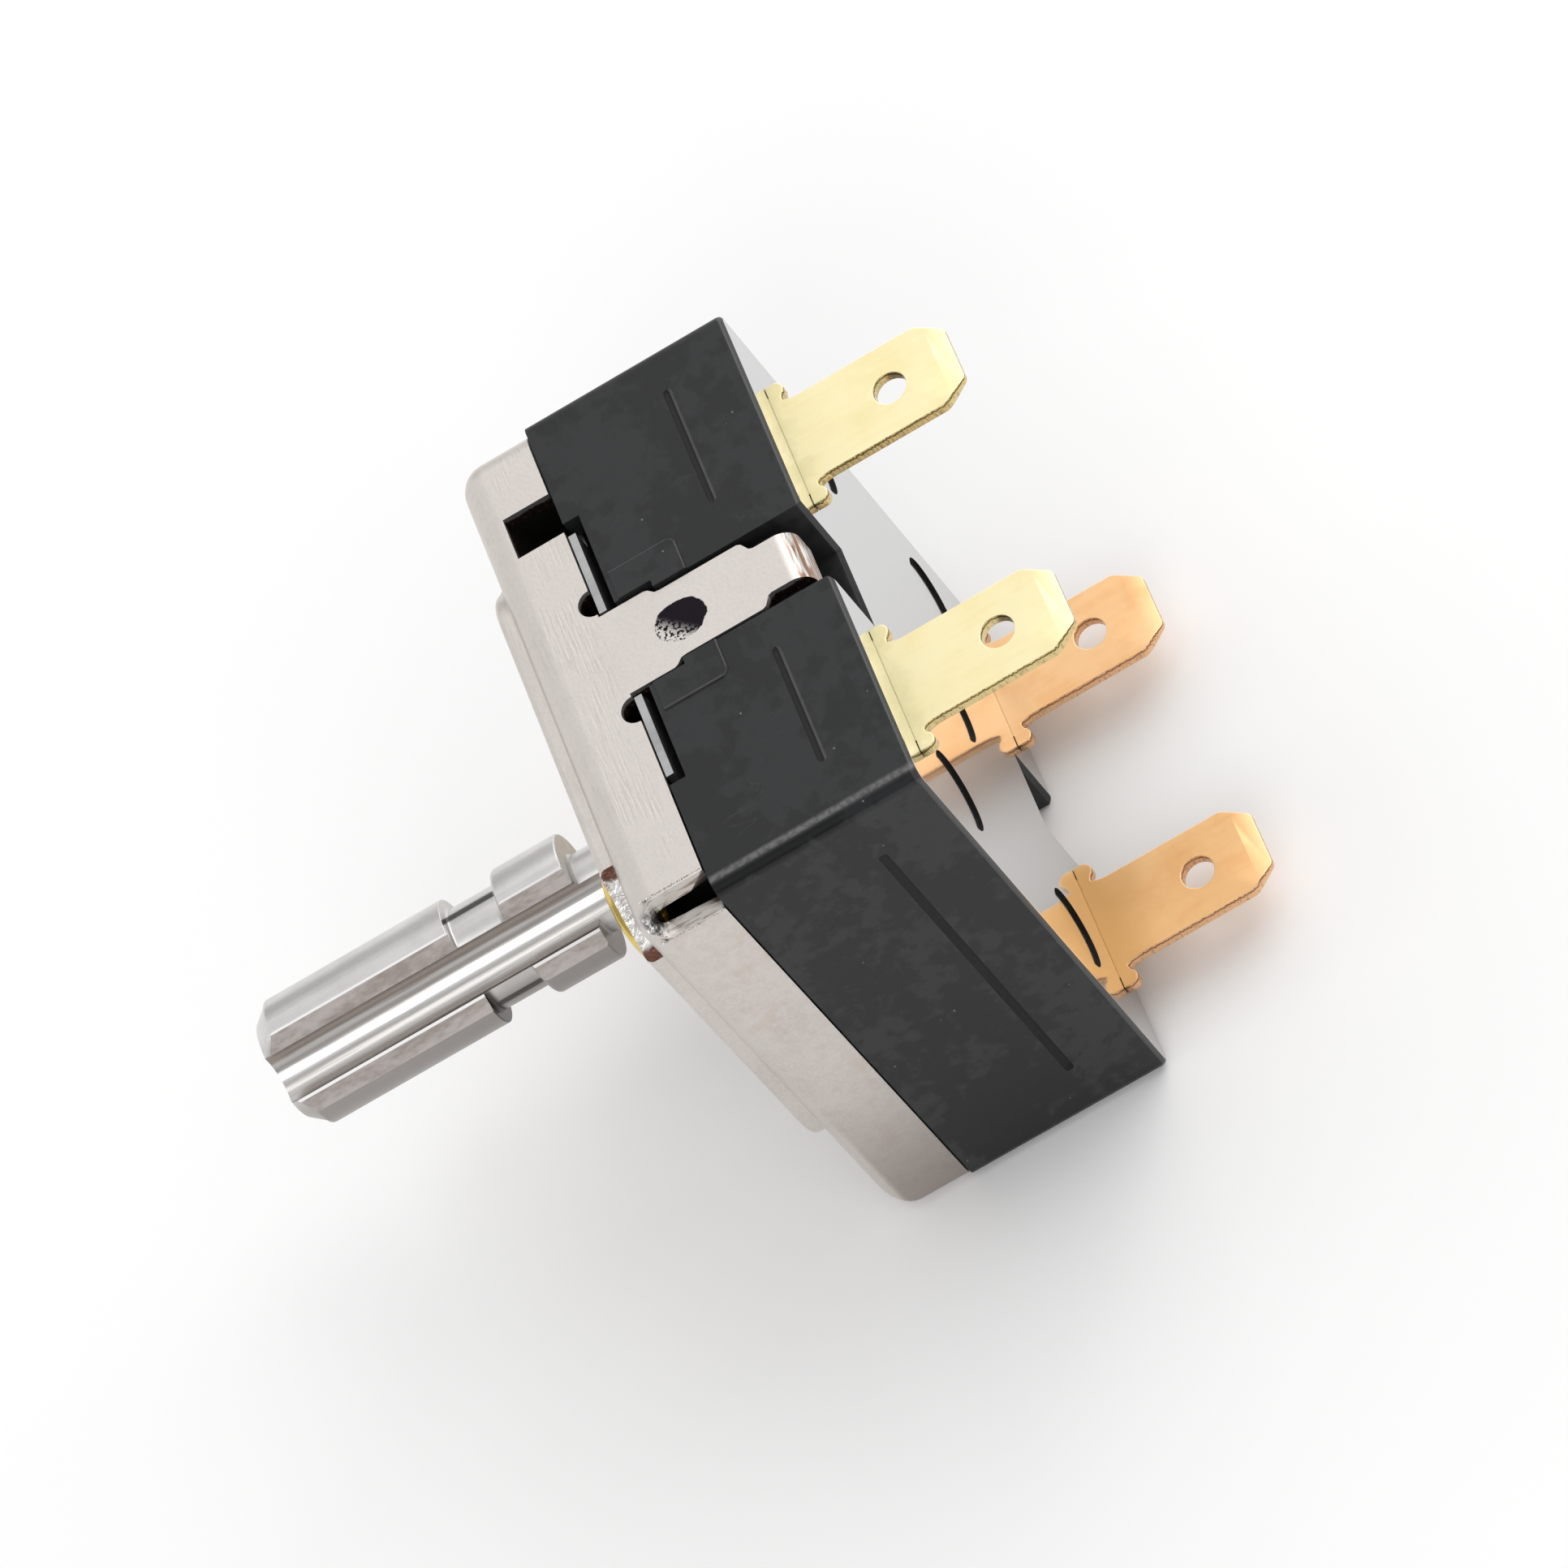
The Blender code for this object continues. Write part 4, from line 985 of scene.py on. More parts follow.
@dataclass(frozen=True)
class StampedMetal(Finish):
    """Bright rolled strip with light smears, used for terminals, inserts and steel parts."""

    name: str
    colour: Colour
    shade: Colour
    roughness: float = 0.26
    root: Colour | None = None
    root_ends: Point = (19.0, 14.2)
    root_from: float = 4.0

    def darker_root(self, sheet: NodeSheet, colour: Value) -> Value:
        """Return the colour darker towards the root, on the terminals beyond root_from.

        Args:
            sheet: The material's nodes.
            colour: The colour so far.

        Returns:
            The colour.
        """
        across, along, _ = sheet.spot()
        near = (along + (sheet.noise(420.0, 4.0) - 0.5) * 2.6).ramp(*self.root_ends)
        side = across.ramp(self.root_from, self.root_from + 2.0)
        return sheet.blend(near * side, colour, self.root)

    def lay(self, sheet: NodeSheet) -> None:
        """Lay out the smears, the rolling lines and the darker root.

        Args:
            sheet: The material's nodes.
        """
        smears = sheet.noise(260.0, 4.0)
        rolled = sheet.drawn((2400.0, 150.0, 2400.0), 2.0)
        colour = sheet.blend((smears + rolled * 0.3).ramp(0.5, 0.95), self.colour, self.shade)
        if self.root:
            colour = self.darker_root(sheet, colour)
        sheet.paint(colour, self.roughness + smears * 0.14, 1.0)
        sheet.relief(rolled + sheet.noise(1800.0), 0.00001, 0.5)


@dataclass(frozen=True)
class StripEdge(Finish):
    """The stamped edge of a terminal: a dark rolled-over line, then a serrated lighter band."""

    name: str
    colour: Colour
    shade: Colour
    top: float

    def lay(self, sheet: NodeSheet) -> None:
        """Lay out the line and the band by the depth under the terminal's upper face.

        Args:
            sheet: The material's nodes.
        """
        serrated = sheet.drawn((5000.0, 5000.0, 900.0))
        place = self.top - sheet.spot()[2] + (serrated - 0.5) * 0.5
        line = place.ramp(0.08, 0.14) * place.ramp(0.3, 0.22)
        share = sheet.maths("MAXIMUM", line, serrated.ramp(0.5, 0.66) * 0.45)
        sheet.paint(sheet.blend(share, self.colour, self.shade), 0.24, 1.0)
        sheet.relief(serrated, 0.00004, 0.8)


@dataclass(frozen=True)
class NaturalNylon(Finish):
    """Natural moulded nylon of the cam, faintly mottled."""

    name: str = "natural_nylon"
    colour: Colour = (0.60, 0.57, 0.49)
    shade: Colour = (0.52, 0.48, 0.40)

    def lay(self, sheet: NodeSheet) -> None:
        """Lay out the mottle.

        Args:
            sheet: The material's nodes.
        """
        mottle = sheet.noise(300.0).ramp(0.3, 0.7)
        sheet.paint(sheet.blend(mottle, self.colour, self.shade), 0.46, 0.0)
        sheet.relief(sheet.noise(2500.0, 2.0), 0.00001, 0.5)


def blacks() -> dict[str, Finish]:
    """Return the moulding's finishes.

    Returns:
        The finishes by name.
    """
    # hollow: darker black as painted shade in the round marks on the back.
    hollow = {"colour": (0.004, 0.004, 0.004), "smear": (0.008, 0.008, 0.008)}
    # sunk: darker black as painted shade inside the grooves.
    sunk = {"colour": (0.0065, 0.0065, 0.0065), "smear": (0.013, 0.013, 0.013)}
    # Painted highlight on the grooves' flank that faces the light.
    lit = {"colour": (0.055, 0.055, 0.054), "smear": (0.10, 0.10, 0.098)}
    # Painted highlight on the rounded outer edges.
    rim_highlight = {"colour": (0.035, 0.035, 0.036), "smear": (0.055, 0.055, 0.056)}
    return {
        "black": BlackMoulding(),
        "black_back": BlackMoulding(
            "glossy_black_back", roughness=0.09, spread=0.05, gloss=0.8, lacquer=1.0
        ),
        "recess": BlackMoulding("recess_black", **hollow, roughness=0.5, gloss=0.12),
        "groove": BlackMoulding("groove_black", **sunk, roughness=0.5, gloss=0.22),
        "groove_lit": BlackMoulding("groove_edge_grey", **lit, roughness=0.45, gloss=0.35),
        "rim_highlight": BlackMoulding("rubbed_black_edge", **rim_highlight, gloss=0.5),
    }


def strips() -> dict[str, Finish]:
    """Return the finishes of the stamped and turned metal parts.

    Returns:
        The finishes by name.
    """
    # The brass terminals are darker next to the housing: painted shade.
    brass_root = {"root": (0.78, 0.70, 0.40), "root_ends": (15.2, 13.7), "root_from": -30.0}
    top = BLADE_THICKNESS / 2
    return {
        "brass": StampedMetal("terminal_brass", (1.0, 0.90, 0.55), (0.94, 0.81, 0.44), **brass_root),
        "brass_edge": StripEdge("brass_edge", (0.72, 0.58, 0.28), (0.16, 0.11, 0.04), UPPER_Z + top),
        "copper": StampedMetal(
            "terminal_copper", (0.99, 0.62, 0.32), (0.90, 0.50, 0.23), root=(0.72, 0.41, 0.17)
        ),
        "copper_edge": StripEdge("copper_edge", (0.85, 0.52, 0.29), (0.30, 0.13, 0.06), LOWER_Z + top),
        "insert": StampedMetal("insert_brass", (0.80, 0.60, 0.17), (0.60, 0.42, 0.10), 0.16),
        "bright_steel": StampedMetal("bright_steel", (0.47, 0.475, 0.47), (0.34, 0.345, 0.34), 0.36),
        "silver": StampedMetal("contact_silver", (0.86, 0.85, 0.82), (0.74, 0.72, 0.68), 0.22),
    }


def make_finishes() -> dict[str, bpy.types.Material]:
    """Return every finish by its plain name.

    Returns:
        The materials by name.
    """
    # The arris finish is a near-white painted highlight on the seams between the spindle's faces, with a
    # faint painted shade on its lower side.
    arris = {"colour": (1.0, 1.0, 1.0), "shade": (0.92, 0.92, 0.91), "painted_shade": (0.9, 0.89, 0.88)}
    finishes = {
        "steel": SheetSteel(),
        "sheared": ShearedEdge(),
        "pad_shear": PadShear(),
        "broken": BrokenEdge(),
        "burr": BurrSilver(),
        "cast": CastMetal(),
        "arris": CastMetal("bright_arris", **arris, roughness=0.5),
        "flat": MilledFlat(),
        "slot": DrawnSlot(),
        "nylon": NaturalNylon(),
        **blacks(),
        **strips(),
    }
    return {name: finish.make() for name, finish in finishes.items()}


@dataclass
class FrontPlate:
    """The folded steel pan with its raised diagonal pad and its two hooked straps."""

    bench: Workbench
    half: float = PLATE_HALF
    sheet: float = 1.0
    depth: float = 5.25
    bend: float = 1.9
    pad_raise: float = 0.95
    pad_margin: float = 1.45
    sheared_along: float = 5.05
    sheared_down: float = 3.5
    pad_round: float = 7.9
    strap_root: float = 3.1
    strap_half: float = 2.6
    strap_tip: float = 1.8
    hook_y: float = 12.8
    hook_radius: float = 1.3
    tight: float = 0.95
    window: Point = (10.1, 13.3)
    notch_radius: float = 0.97
    insert_hole: float = 2.1
    spindle_hole: float = 4.6
    pad_edge: float = 0.42
    least_round: float = 0.3
    through: Point = (-8.0, -3.0)
    finishes: tuple[str, ...] = ("steel", "sheared", "pad_shear", "broken", "burr")

    @property
    def pad_half(self) -> float:
        """Half of the raised pad's side."""
        return self.half - self.pad_margin

    def square(self, half: float, corner: float, level: float) -> list[Vector]:
        """Return a rounded square across Y, with one corner folded tighter."""
        corners = (corner, corner, corner, min(corner, self.tight))
        return ring(rounded_square(half, corners, 6), level)

    def pan(self, half: float, front: float, radius: float, rim: float) -> Solid:
        """Return a rounded square block from its front face to its rim.

        Args:
            half: Half of the side.
            front: Place of the front face along Y.
            radius: Radius of the rounding between face and sides.
            rim: Place of the rim along Y.

        Returns:
            The block.
        """
        rings = []
        for inset, deep in reversed(rounding(radius, 9)):
            corner = max(radius - inset, self.least_round)
            rings.append(self.square(half - inset, corner, front + deep))
        rings.append(self.square(half, max(radius, self.least_round), rim))
        return loft(rings)

    def pad_outline(self, inset: float, shift: float = 0.0) -> list[Point]:
        """Return the pad's outline.

        Args:
            inset: How far the pad's folded sides lie inside its full size.
            shift: How far the sheared corners are moved inwards.

        Returns:
            Points as X and Z, the same number for every inset.
        """
        half = self.pad_half - inset
        slope = self.sheared_down / self.sheared_along
        start = self.pad_half - shift
        low = start - self.sheared_down + (start - half) * slope
        side = start - self.sheared_along + (start - half) / slope
        points = [(half, low), (side, half)]
        reach = 1.7
        edge = self.pad_round
        first = arc((-half + edge + reach, half - 2 * reach), 2 * reach, 90.0, 135.0, 6)
        second = arc((-half + 2 * reach, half - edge - reach), 2 * reach, 135.0, 180.0, 6)
        points += first + second
        return points + [(-a, -b) for a, b in points]

    def pad(self) -> Solid:
        """Return the raised pad with a round at its top.

        Returns:
            The pad.
        """
        front = -self.depth
        top = front - self.pad_raise
        steps = [(0.0, front + 0.6)] + [(inset, top + deep) for inset, deep in rounding(self.pad_edge, 4)]
        return loft([ring(self.pad_outline(inset), level) for inset, level in steps])

    def open_corner(self, side: int) -> Solid:
        """Return the cutter of a torn corner, widening from a slanted web to the rim.

        Args:
            side: Sign of the side.

        Returns:
            The cutter.
        """
        far = self.half + 1.0
        end_x = self.half - 1.96
        end_z = self.half - 2.0
        web = (end_x + self.half) / 2
        root = self.half - 0.1
        # Each stage is a place along Y with the slit's upper end, its web and its lower end.
        stages = [
            (-5.0, (end_x + 0.45, root), (web + 0.2, web + 0.25), (root, end_z + 0.35)),
            (-4.4, (end_x + 0.04, far), (web - 0.05, web - 0.1), (far, end_z + 0.02)),
            (-3.7, (end_x, far), (web - 0.5, web - 0.62), (far, end_z)),
            (-2.2, (end_x, far), (web - 0.55, web - 0.75), (far, end_z)),
            (1.0, (end_x, far), (end_x, end_z), (far, end_z)),
        ]
        rings = []
        for level, high, inner, low in stages:
            outline = [(side * a, side * b) for a, b in (high, inner, low, (far, far))]
            rings.append(ring(outline, level))
        cutter = loft(rings)
        bmesh.ops.triangulate(cutter, faces=cutter.faces)
        return cutter

    def closed_corner(self, side: int) -> Solid:
        """Return the cutter of the slit between two walls at a corner without a sheared pad.

        Args:
            side: Sign of the side.

        Returns:
            The cutter.
        """
        far = self.half + 1.0
        inner = self.half - self.sheet - 0.05
        slit = inner - 0.6
        end = -inner + 0.3
        start = -3.4
        if side > 0:
            return block((-far, start, slit), (end, 1.0, inner))
        return block((slit, start, -far), (inner, 1.0, end))

    def strap(self, side: int) -> Solid:
        """Return one strap with its stepped width and its hooked end.

        Args:
            side: Sign of the side.

        Returns:
            The strap.
        """
        middle = self.half - self.sheet / 2
        bend = self.hook_radius - self.sheet / 2
        bend_y = self.hook_y - self.hook_radius
        bend_z = self.half - self.hook_radius
        stations = [
            (-1.2, middle, self.strap_root),
            (3.1, middle, self.strap_root),
            (3.35, middle, self.strap_root - 0.1),
            (3.7, middle, self.strap_half + 0.05),
            (4.1, middle, self.strap_half),
            (9.35, middle, self.strap_half),
            (9.6, middle, self.strap_half - 0.12),
            (9.95, middle, self.strap_tip + 0.1),
            (10.2, middle, self.strap_tip),
        ]
        for along, up in arc((bend_y, bend_z), bend, 90.0, 0.0, 10):
            stations.append((along, up, self.strap_tip))
        stations.append((bend_y + bend, bend_z - 1.6, self.strap_tip))
        path = [(along, side * up) for along, up, _ in stations]
        return ribbon(path, [width for _, _, width in stations], self.sheet, Axis.X)

    def openings(self) -> list[Solid]:
        """Return the cutters of every opening that leaves a sheared edge.

        Returns:
            The cutters.
        """
        cuts = []
        for side in (1, -1):
            near, far = sorted((side * (self.half - 2 * self.sheet), side * (self.half + 1.0)))
            ends = sorted(-side * end for end in self.window)
            cuts.append(block((ends[0], -3.2, near), (ends[1], 1.0, far)))
            for flank in (1, -1):
                middle = flank * (self.strap_root + 1.2)
                outline = arc((middle, 0.0), self.notch_radius, 180.0, 360.0, 14)
                outline += [(middle + 0.8, 1.0), (middle - 0.8, 1.0)]
                cuts.append(prism(outline, near, far, Axis.Z))
            insert = circle((side * INSERT_SPOT, side * INSERT_SPOT), self.insert_hole)
            cuts.append(prism(insert, *self.through))
        cuts.append(prism(circle((0.0, 0.0), self.spindle_hole, 72), *self.through))
        return cuts

    def mark_edges(self, piece: Piece) -> None:
        """Give the rim and the pad's sheared corners their own finishes.

        Args:
            piece: The piece.
        """
        cut = Vector((self.sheared_down, 0.0, self.sheared_along)).normalized()
        for face in piece.data.polygons:
            if face.normal.y > 0.9 and abs(face.center.y) < 0.05:
                face.material_index = self.finishes.index("sheared")
            if abs(face.normal.dot(cut)) > 0.97 and face.center.y < -self.depth + 0.05:
                face.material_index = self.finishes.index("pad_shear")

    def brighten_rim(self, piece: Piece) -> None:
        """Burnish the fine rounding along the rim.

        Args:
            piece: The piece.
        """
        for face in piece.data.polygons:
            if abs(face.center.y) < 0.08 and 0.2 < face.normal.y < 0.97:
                face.material_index = self.finishes.index("burr")

    def build(self) -> None:
        """Build and dress the front plate."""
        bench = self.bench
        shell = self.pan(self.half, -self.depth, self.bend, 0.0)
        plate = bench.as_object("front_plate_sheet", shell, self.finishes)
        bench.change(plate, Cut.ADD, self.pad(), "steel")
        inner = self.pan(self.half - self.sheet, self.sheet - self.depth, self.bend - self.sheet, 1.0)
        bench.change(plate, Cut.REMOVE, inner, "steel")
        under = -self.depth - self.pad_raise + self.sheet
        hollow = prism(self.pad_outline(self.sheet, 0.8), under, -3.8)
        bench.change(plate, Cut.REMOVE, hollow, "steel")
        for side in (1, -1):
            tool = bench.as_object("strap_tool", self.strap(side), ("steel", "sheared"))
            bench.combine(plate, Cut.ADD, tool)
        for side in (1, -1):
            bench.change(plate, Cut.REMOVE, self.open_corner(side), "burr")
            bench.change(plate, Cut.REMOVE, self.closed_corner(side), "broken")
        for cutter in self.openings():
            bench.change(plate, Cut.REMOVE, cutter, "sheared")
        self.mark_edges(plate)
        bench.soften(plate, 0.07, 35.0)
        self.brighten_rim(plate)
        bench.deliver(plate, Body.CASE, "nickel_steel", ["front_plate"])


@dataclass
class Housing:
    """The square black moulding with its slots, grooves, low guides and round marks."""

    bench: Workbench
    half: float = HOUSING_HALF
    front: float = 0.15
    back: float = 13.95
    corner: float = 0.9
    rim: float = 0.35
    cavity_half: float = 16.6
    cavity_back: float = 10.75
    guide_raise: float = 0.15
    groove_y: float = 9.15
    groove_radius: float = 0.38
    groove_depth: float = 0.15
    mark_depth: float = 0.2
    mark_spot: Point = (13.8, 8.85)
    mark_radius: float = 2.75
    middle_mark: float = 3.6
    strap_slot: Point = (2.9, 1.25)
    pocket_depth: float = 5.8
    guide_reach: float = 5.6
    guide_ends: Point = (1.6, 6.1)
    guide_round: float = 0.6
    long_groove: float = 14.15
    tab_slot: Point = (4.1, 0.47)
    seat_half: float = 17.3
    seat_back: float = 0.9
    boss_radius: float = 4.5
    pivot_hole: float = 2.3
    pivot_floor: float = 12.3
    finishes: tuple[str, ...] = ("black", "black_back", "recess", "rim_highlight", "groove", "groove_lit")

    def shell(self) -> Solid:
        """Return the outside of the moulding.

        Returns:
            The outside.
        """
        levels = [(0.0, self.front)]
        levels += [(inset, self.back - deep) for inset, deep in rounding(self.rim, 6)]
        rings = []
        for inset, level in levels:
            outline = rounded_square(self.half - inset, (self.corner - inset,) * 4, 8)
            rings.append(ring(outline, level))
        return loft(rings)

    def slab(self, side: int, xs: Point, ys: Point, depth: float) -> Solid:
        """Return a cutter into the upper (+1) or lower (-1) side."""
        near, far = sorted((side * (self.half - depth), side * (self.half + 1.0)))
        return block((xs[0], ys[0], near), (xs[1], ys[1], far))

    def groove(self, start: float, end: float, axis: Axis, side: int) -> Solid:
        """Return the cutter of a round-bottomed groove with round ends.

        Args:
            start: One end along the axis.
            end: The other end.
            axis: Direction in which the groove runs.
            side: +1 or -1 for the side of the moulding that it is in.

        Returns:
            The cutter.
        """
        low, high = sorted((start, end))
        radius = self.groove_radius
        centre = side * (self.half + radius - self.groove_depth)
        spot = (self.groove_y, centre) if axis is Axis.X else (centre, self.groove_y)
        rings = []
        for base, turns in ((low + radius, (5, 30, 60, 90)), (high - radius, (90, 120, 150, 175))):
            for turn in turns:
                angle = math.radians(turn)
                outline = circle(spot, radius * math.sin(angle), 24)
                rings.append(ring(outline, base - radius * math.cos(angle), axis))
        return loft(rings)

    def guide(self, side: int) -> Solid:
        """Return the low raised pad either side of the strap.

        Args:
            side: Sign of the side.

        Returns:
            The pad.
        """
        inset = self.guide_round
        reach = self.guide_reach
        foot, top = self.guide_ends
        outline = arc((reach - inset, top - inset), inset, 0.0, 90.0, 6)
        outline += arc((inset - reach, top - inset), inset, 90.0, 180.0, 6)
        outline += [(-reach, foot), (reach, foot)]
        rise = self.guide_raise
        rings = []
        for shrink, level in ((0.0, -0.4), (0.0, 0.05), (0.05, rise - 0.02), (0.12, rise)):
            scale_x = (reach - shrink) / reach
            points = [(a * scale_x, b - (shrink if b > 3.0 else 0.0)) for a, b in outline]
            rings.append(ring(points, side * (self.half + level), Axis.Z))
        return loft(rings)

    def strap_side(self, side: int) -> list[Solid]:
        """Return the cutters of the side that holds a strap.

        Args:
            side: Sign of the side.

        Returns:
            The cutters.
        """
        half, depth = self.strap_slot
        cuts = [
            self.slab(side, (-half - 0.5, half + 0.5), (-1.0, 3.8), depth),
            self.slab(side, (-half, half), (3.3, 15.0), depth),
            self.slab(side, (-half, half), (11.7, 15.0), self.pocket_depth),
            self.slab(side, (-10.6, 10.6), (-1.0, 1.25), 2.9),
        ]
        lip = []
        for level, spread in ((self.back - 0.3, 0.0), (self.back + 0.05, 0.35)):
            wide = half + spread
            deep = side * (self.half - self.pocket_depth - spread)
            high = side * (self.half + 1.0)
            lip.append(ring([(-wide, deep), (wide, deep), (wide, high), (-wide, high)], level))
        cuts.append(loft(lip))
        return cuts

    def grooves(self) -> list[Solid]:
        """Return the cutters of the six long grooves.

        Returns:
            The cutters.
        """
        starts = {1: (5.5, 14.8), -1: (6.2, 15.7)}
        cuts = []
        for side in (1, -1):
            cuts.append(self.groove(-self.long_groove, self.long_groove, Axis.Z, side))
            for flank in (1, -1):
                low, high = starts[side * flank]
                cuts.append(self.groove(flank * low, flank * high, Axis.X, side))
        return cuts

    def tab_slots(self) -> list[Solid]:
        """Return the cutters of the four slots for the terminals.

        Returns:
            The cutters.
        """
        wide, high = self.tab_slot
        cuts = []
        for centre in (BLADE_X, -BLADE_X):
            for height in (UPPER_Z, LOWER_Z):
                low = (centre - wide, self.cavity_back - 1.0, height - high)
                cuts.append(block(low, (centre + wide, self.back + 1.0, height + high)))
        return cuts

    def mark_edges(self, piece: Piece) -> None:
        """Give the rounded outer edges and the lit flank of the grooves their own finishes of painted
        highlight.

        Args:
            piece: The piece.
        """
        black, back, _, rim_highlight, groove, groove_lit = range(len(self.finishes))
        for face in piece.data.polygons:
            slanted = max(abs(part) for part in face.normal) < 0.97
            outside = max(abs(face.center.x), abs(face.center.z)) > 18.55
            corner = min(abs(face.center.x), abs(face.center.z)) > 18.05 and face.center.y < 13.5
            moulded = face.center.y > 1.6 and face.material_index in (black, back)
            # Rounded outer edges take the painted highlight.
            if slanted and outside and not corner and moulded and face.normal.y < 0.85:
                face.material_index = rim_highlight
            # The upper grooves' flank facing -Y takes the painted highlight.
            flank = face.normal.y < -0.2 and face.normal.z > 0.3 and face.center.z > 18.8
            if flank and face.material_index == groove:
                face.material_index = groove_lit

    def build(self) -> None:
        """Build and dress the housing."""
        bench = self.bench
        body = bench.as_object("housing_moulding", self.shell(), self.finishes)
        for side in (1, -1):
            bench.change(body, Cut.ADD, self.guide(side), "black")
        seat = self.seat_half
        cuts = [block((-seat, -1.0, -seat), (seat, self.seat_back, seat))]
        reach = self.cavity_half
        cuts.append(block((-reach, 0.4, -reach), (reach, self.cavity_back, reach)))
        for side in (1, -1):
            cuts += self.strap_side(side)
        cuts += self.tab_slots()
        for cutter in cuts:
            bench.change(body, Cut.REMOVE, cutter, "black")
        for cutter in self.grooves():
            bench.change(body, Cut.REMOVE, cutter, "groove")
        across, up = self.mark_spot
        marks = [circle((a * across, b * up), self.mark_radius) for a in (1, -1) for b in (1, -1)]
        for outline in marks + [circle((0.0, 0.0), self.middle_mark, 64)]:
            mark = prism(outline, self.back - self.mark_depth, self.back + 1.0)
            bench.change(body, Cut.REMOVE, mark, "recess")
        boss_outline = circle((0.0, 0.0), self.boss_radius)
        boss = prism(boss_outline, self.cavity_back - 1.0, self.cavity_back + 0.5)
        bench.change(body, Cut.ADD, boss, "black")
        pivot = prism(circle((0.0, 0.0), self.pivot_hole), self.cavity_back - 2.0, self.pivot_floor)
        bench.change(body, Cut.REMOVE, pivot, "black")
        for face in body.data.polygons:
            if face.normal.y > 0.95 and face.center.y > self.back - self.mark_depth - 0.05:
                face.material_index = self.finishes.index("black_back")
        bench.soften(body, 0.07, 35.0)
        self.mark_edges(body)
        bench.deliver(body, Body.CASE, "black_moulding", ["housing"])


@dataclass
class Spindle:
    """The one-piece spindle: flat, slot, clip groove, collar, flange, square and pivot."""

    bench: Workbench
    radius: float = 4.3
    tip: float = -33.2
    flat: float = 3.25
    slot_half: float = 1.6
    slot_floor: float = 1.9
    slot_wall: float = 0.42
    slot_end: float = -8.6
    flat_end: float = -11.2
    square_half: float = 3.0
    square_end: float = 9.4
    pivot_radius: float = 2.0
    pivot_end: float = 12.0
    seam: float = 0.16
    finishes: tuple[str, ...] = ("cast", "flat", "slot", "arris")

    def profile(self) -> list[Point]:
        """Return the turned outline from the tip to the flange.

        Returns:
            Points of radius and place along Y.
        """
        outline = [(0.0, self.tip), (3.05, self.tip)]
        outline += arc((3.05, self.tip + 0.35), 0.35, -90.0, -40.0, 4)[1:]
        outline += [(4.12, self.tip + 1.1)]
        outline += arc((3.95, self.tip + 1.35), 0.35, -30.0, 0.0, 3)
        outline += arc((4.22, -19.48), 0.08, 0.0, 90.0, 3)
        outline += arc((3.7, -19.2), 0.2, 270.0, 180.0, 4)
        outline += arc((3.85, -16.2), 0.35, 180.0, 90.0, 5)
        outline += [(4.08, -15.85), (4.22, -15.76), (4.3, -15.58)]
        outline += [(4.3, -11.35), (4.2, -11.2), (2.85, -11.2), (2.7, -11.05)]
        outline += [(2.7, -8.2), (4.3, -8.2), (4.3, -4.5), (8.0, -4.5), (8.0, -3.5), (0.0, -3.5)]
        return outline

    def facing(self, mesh: Solid) -> Solid:
        """Turn a cutter drawn facing +Z to the key direction.

        Args:
            mesh: The cutter.

        Returns:
            The same cutter.
        """
        turn = Matrix.Rotation(math.radians(90.0 - KEY_DIRECTION), 3, "Y")
        bmesh.ops.rotate(mesh, verts=mesh.verts, matrix=turn)
        return mesh

    def build(self) -> None:
        """Build and dress the spindle."""
        bench = self.bench
        casting = turned(self.profile(), 120)
        body = bench.as_object("spindle_casting", casting, self.finishes)
        half = self.square_half
        bench.change(body, Cut.ADD, block((-half, -4.0, -half), (half, self.square_end, half)), "cast")
        pivot = prism(circle((0.0, 0.0), self.pivot_radius), self.square_end - 0.5, self.pivot_end)
        bench.change(body, Cut.ADD, pivot, "cast")
        wide = self.radius + 1.0
        flat = block((-wide, self.tip - 1.0, self.flat), (wide, self.flat_end, wide))
        bench.change(body, Cut.REMOVE, self.facing(flat), "flat")
        drop = math.sqrt(self.slot_floor**2 - self.slot_half**2)
        spread = math.degrees(math.asin(self.slot_half / self.slot_floor))
        middle = self.flat - self.slot_wall + drop
        floor = arc((0.0, middle), self.slot_floor, 270.0 - spread, 270.0 + spread, 20)
        outline = [(self.slot_half, wide), (-self.slot_half, wide)] + floor
        slot = prism(outline, self.tip - 1.0, self.slot_end)
        bench.change(body, Cut.REMOVE, self.facing(slot), "slot")
        bench.round_seams(body, self.seam, self.finishes.index("arris"))
        bench.deliver(body, Body.ROTOR, "zinc_casting", ["spindle"])


@dataclass(frozen=True)
class TabKind:
    """What differs between the upper and the lower terminals."""

    face: str
    edge: str
    slot: str
    height: float


class TabRow(Enum):
    """The two rows of terminals."""

    UPPER = TabKind("brass", "brass_edge", "brass", UPPER_Z)
    LOWER = TabKind("copper", "copper_edge", "copper_alloy", LOWER_Z)


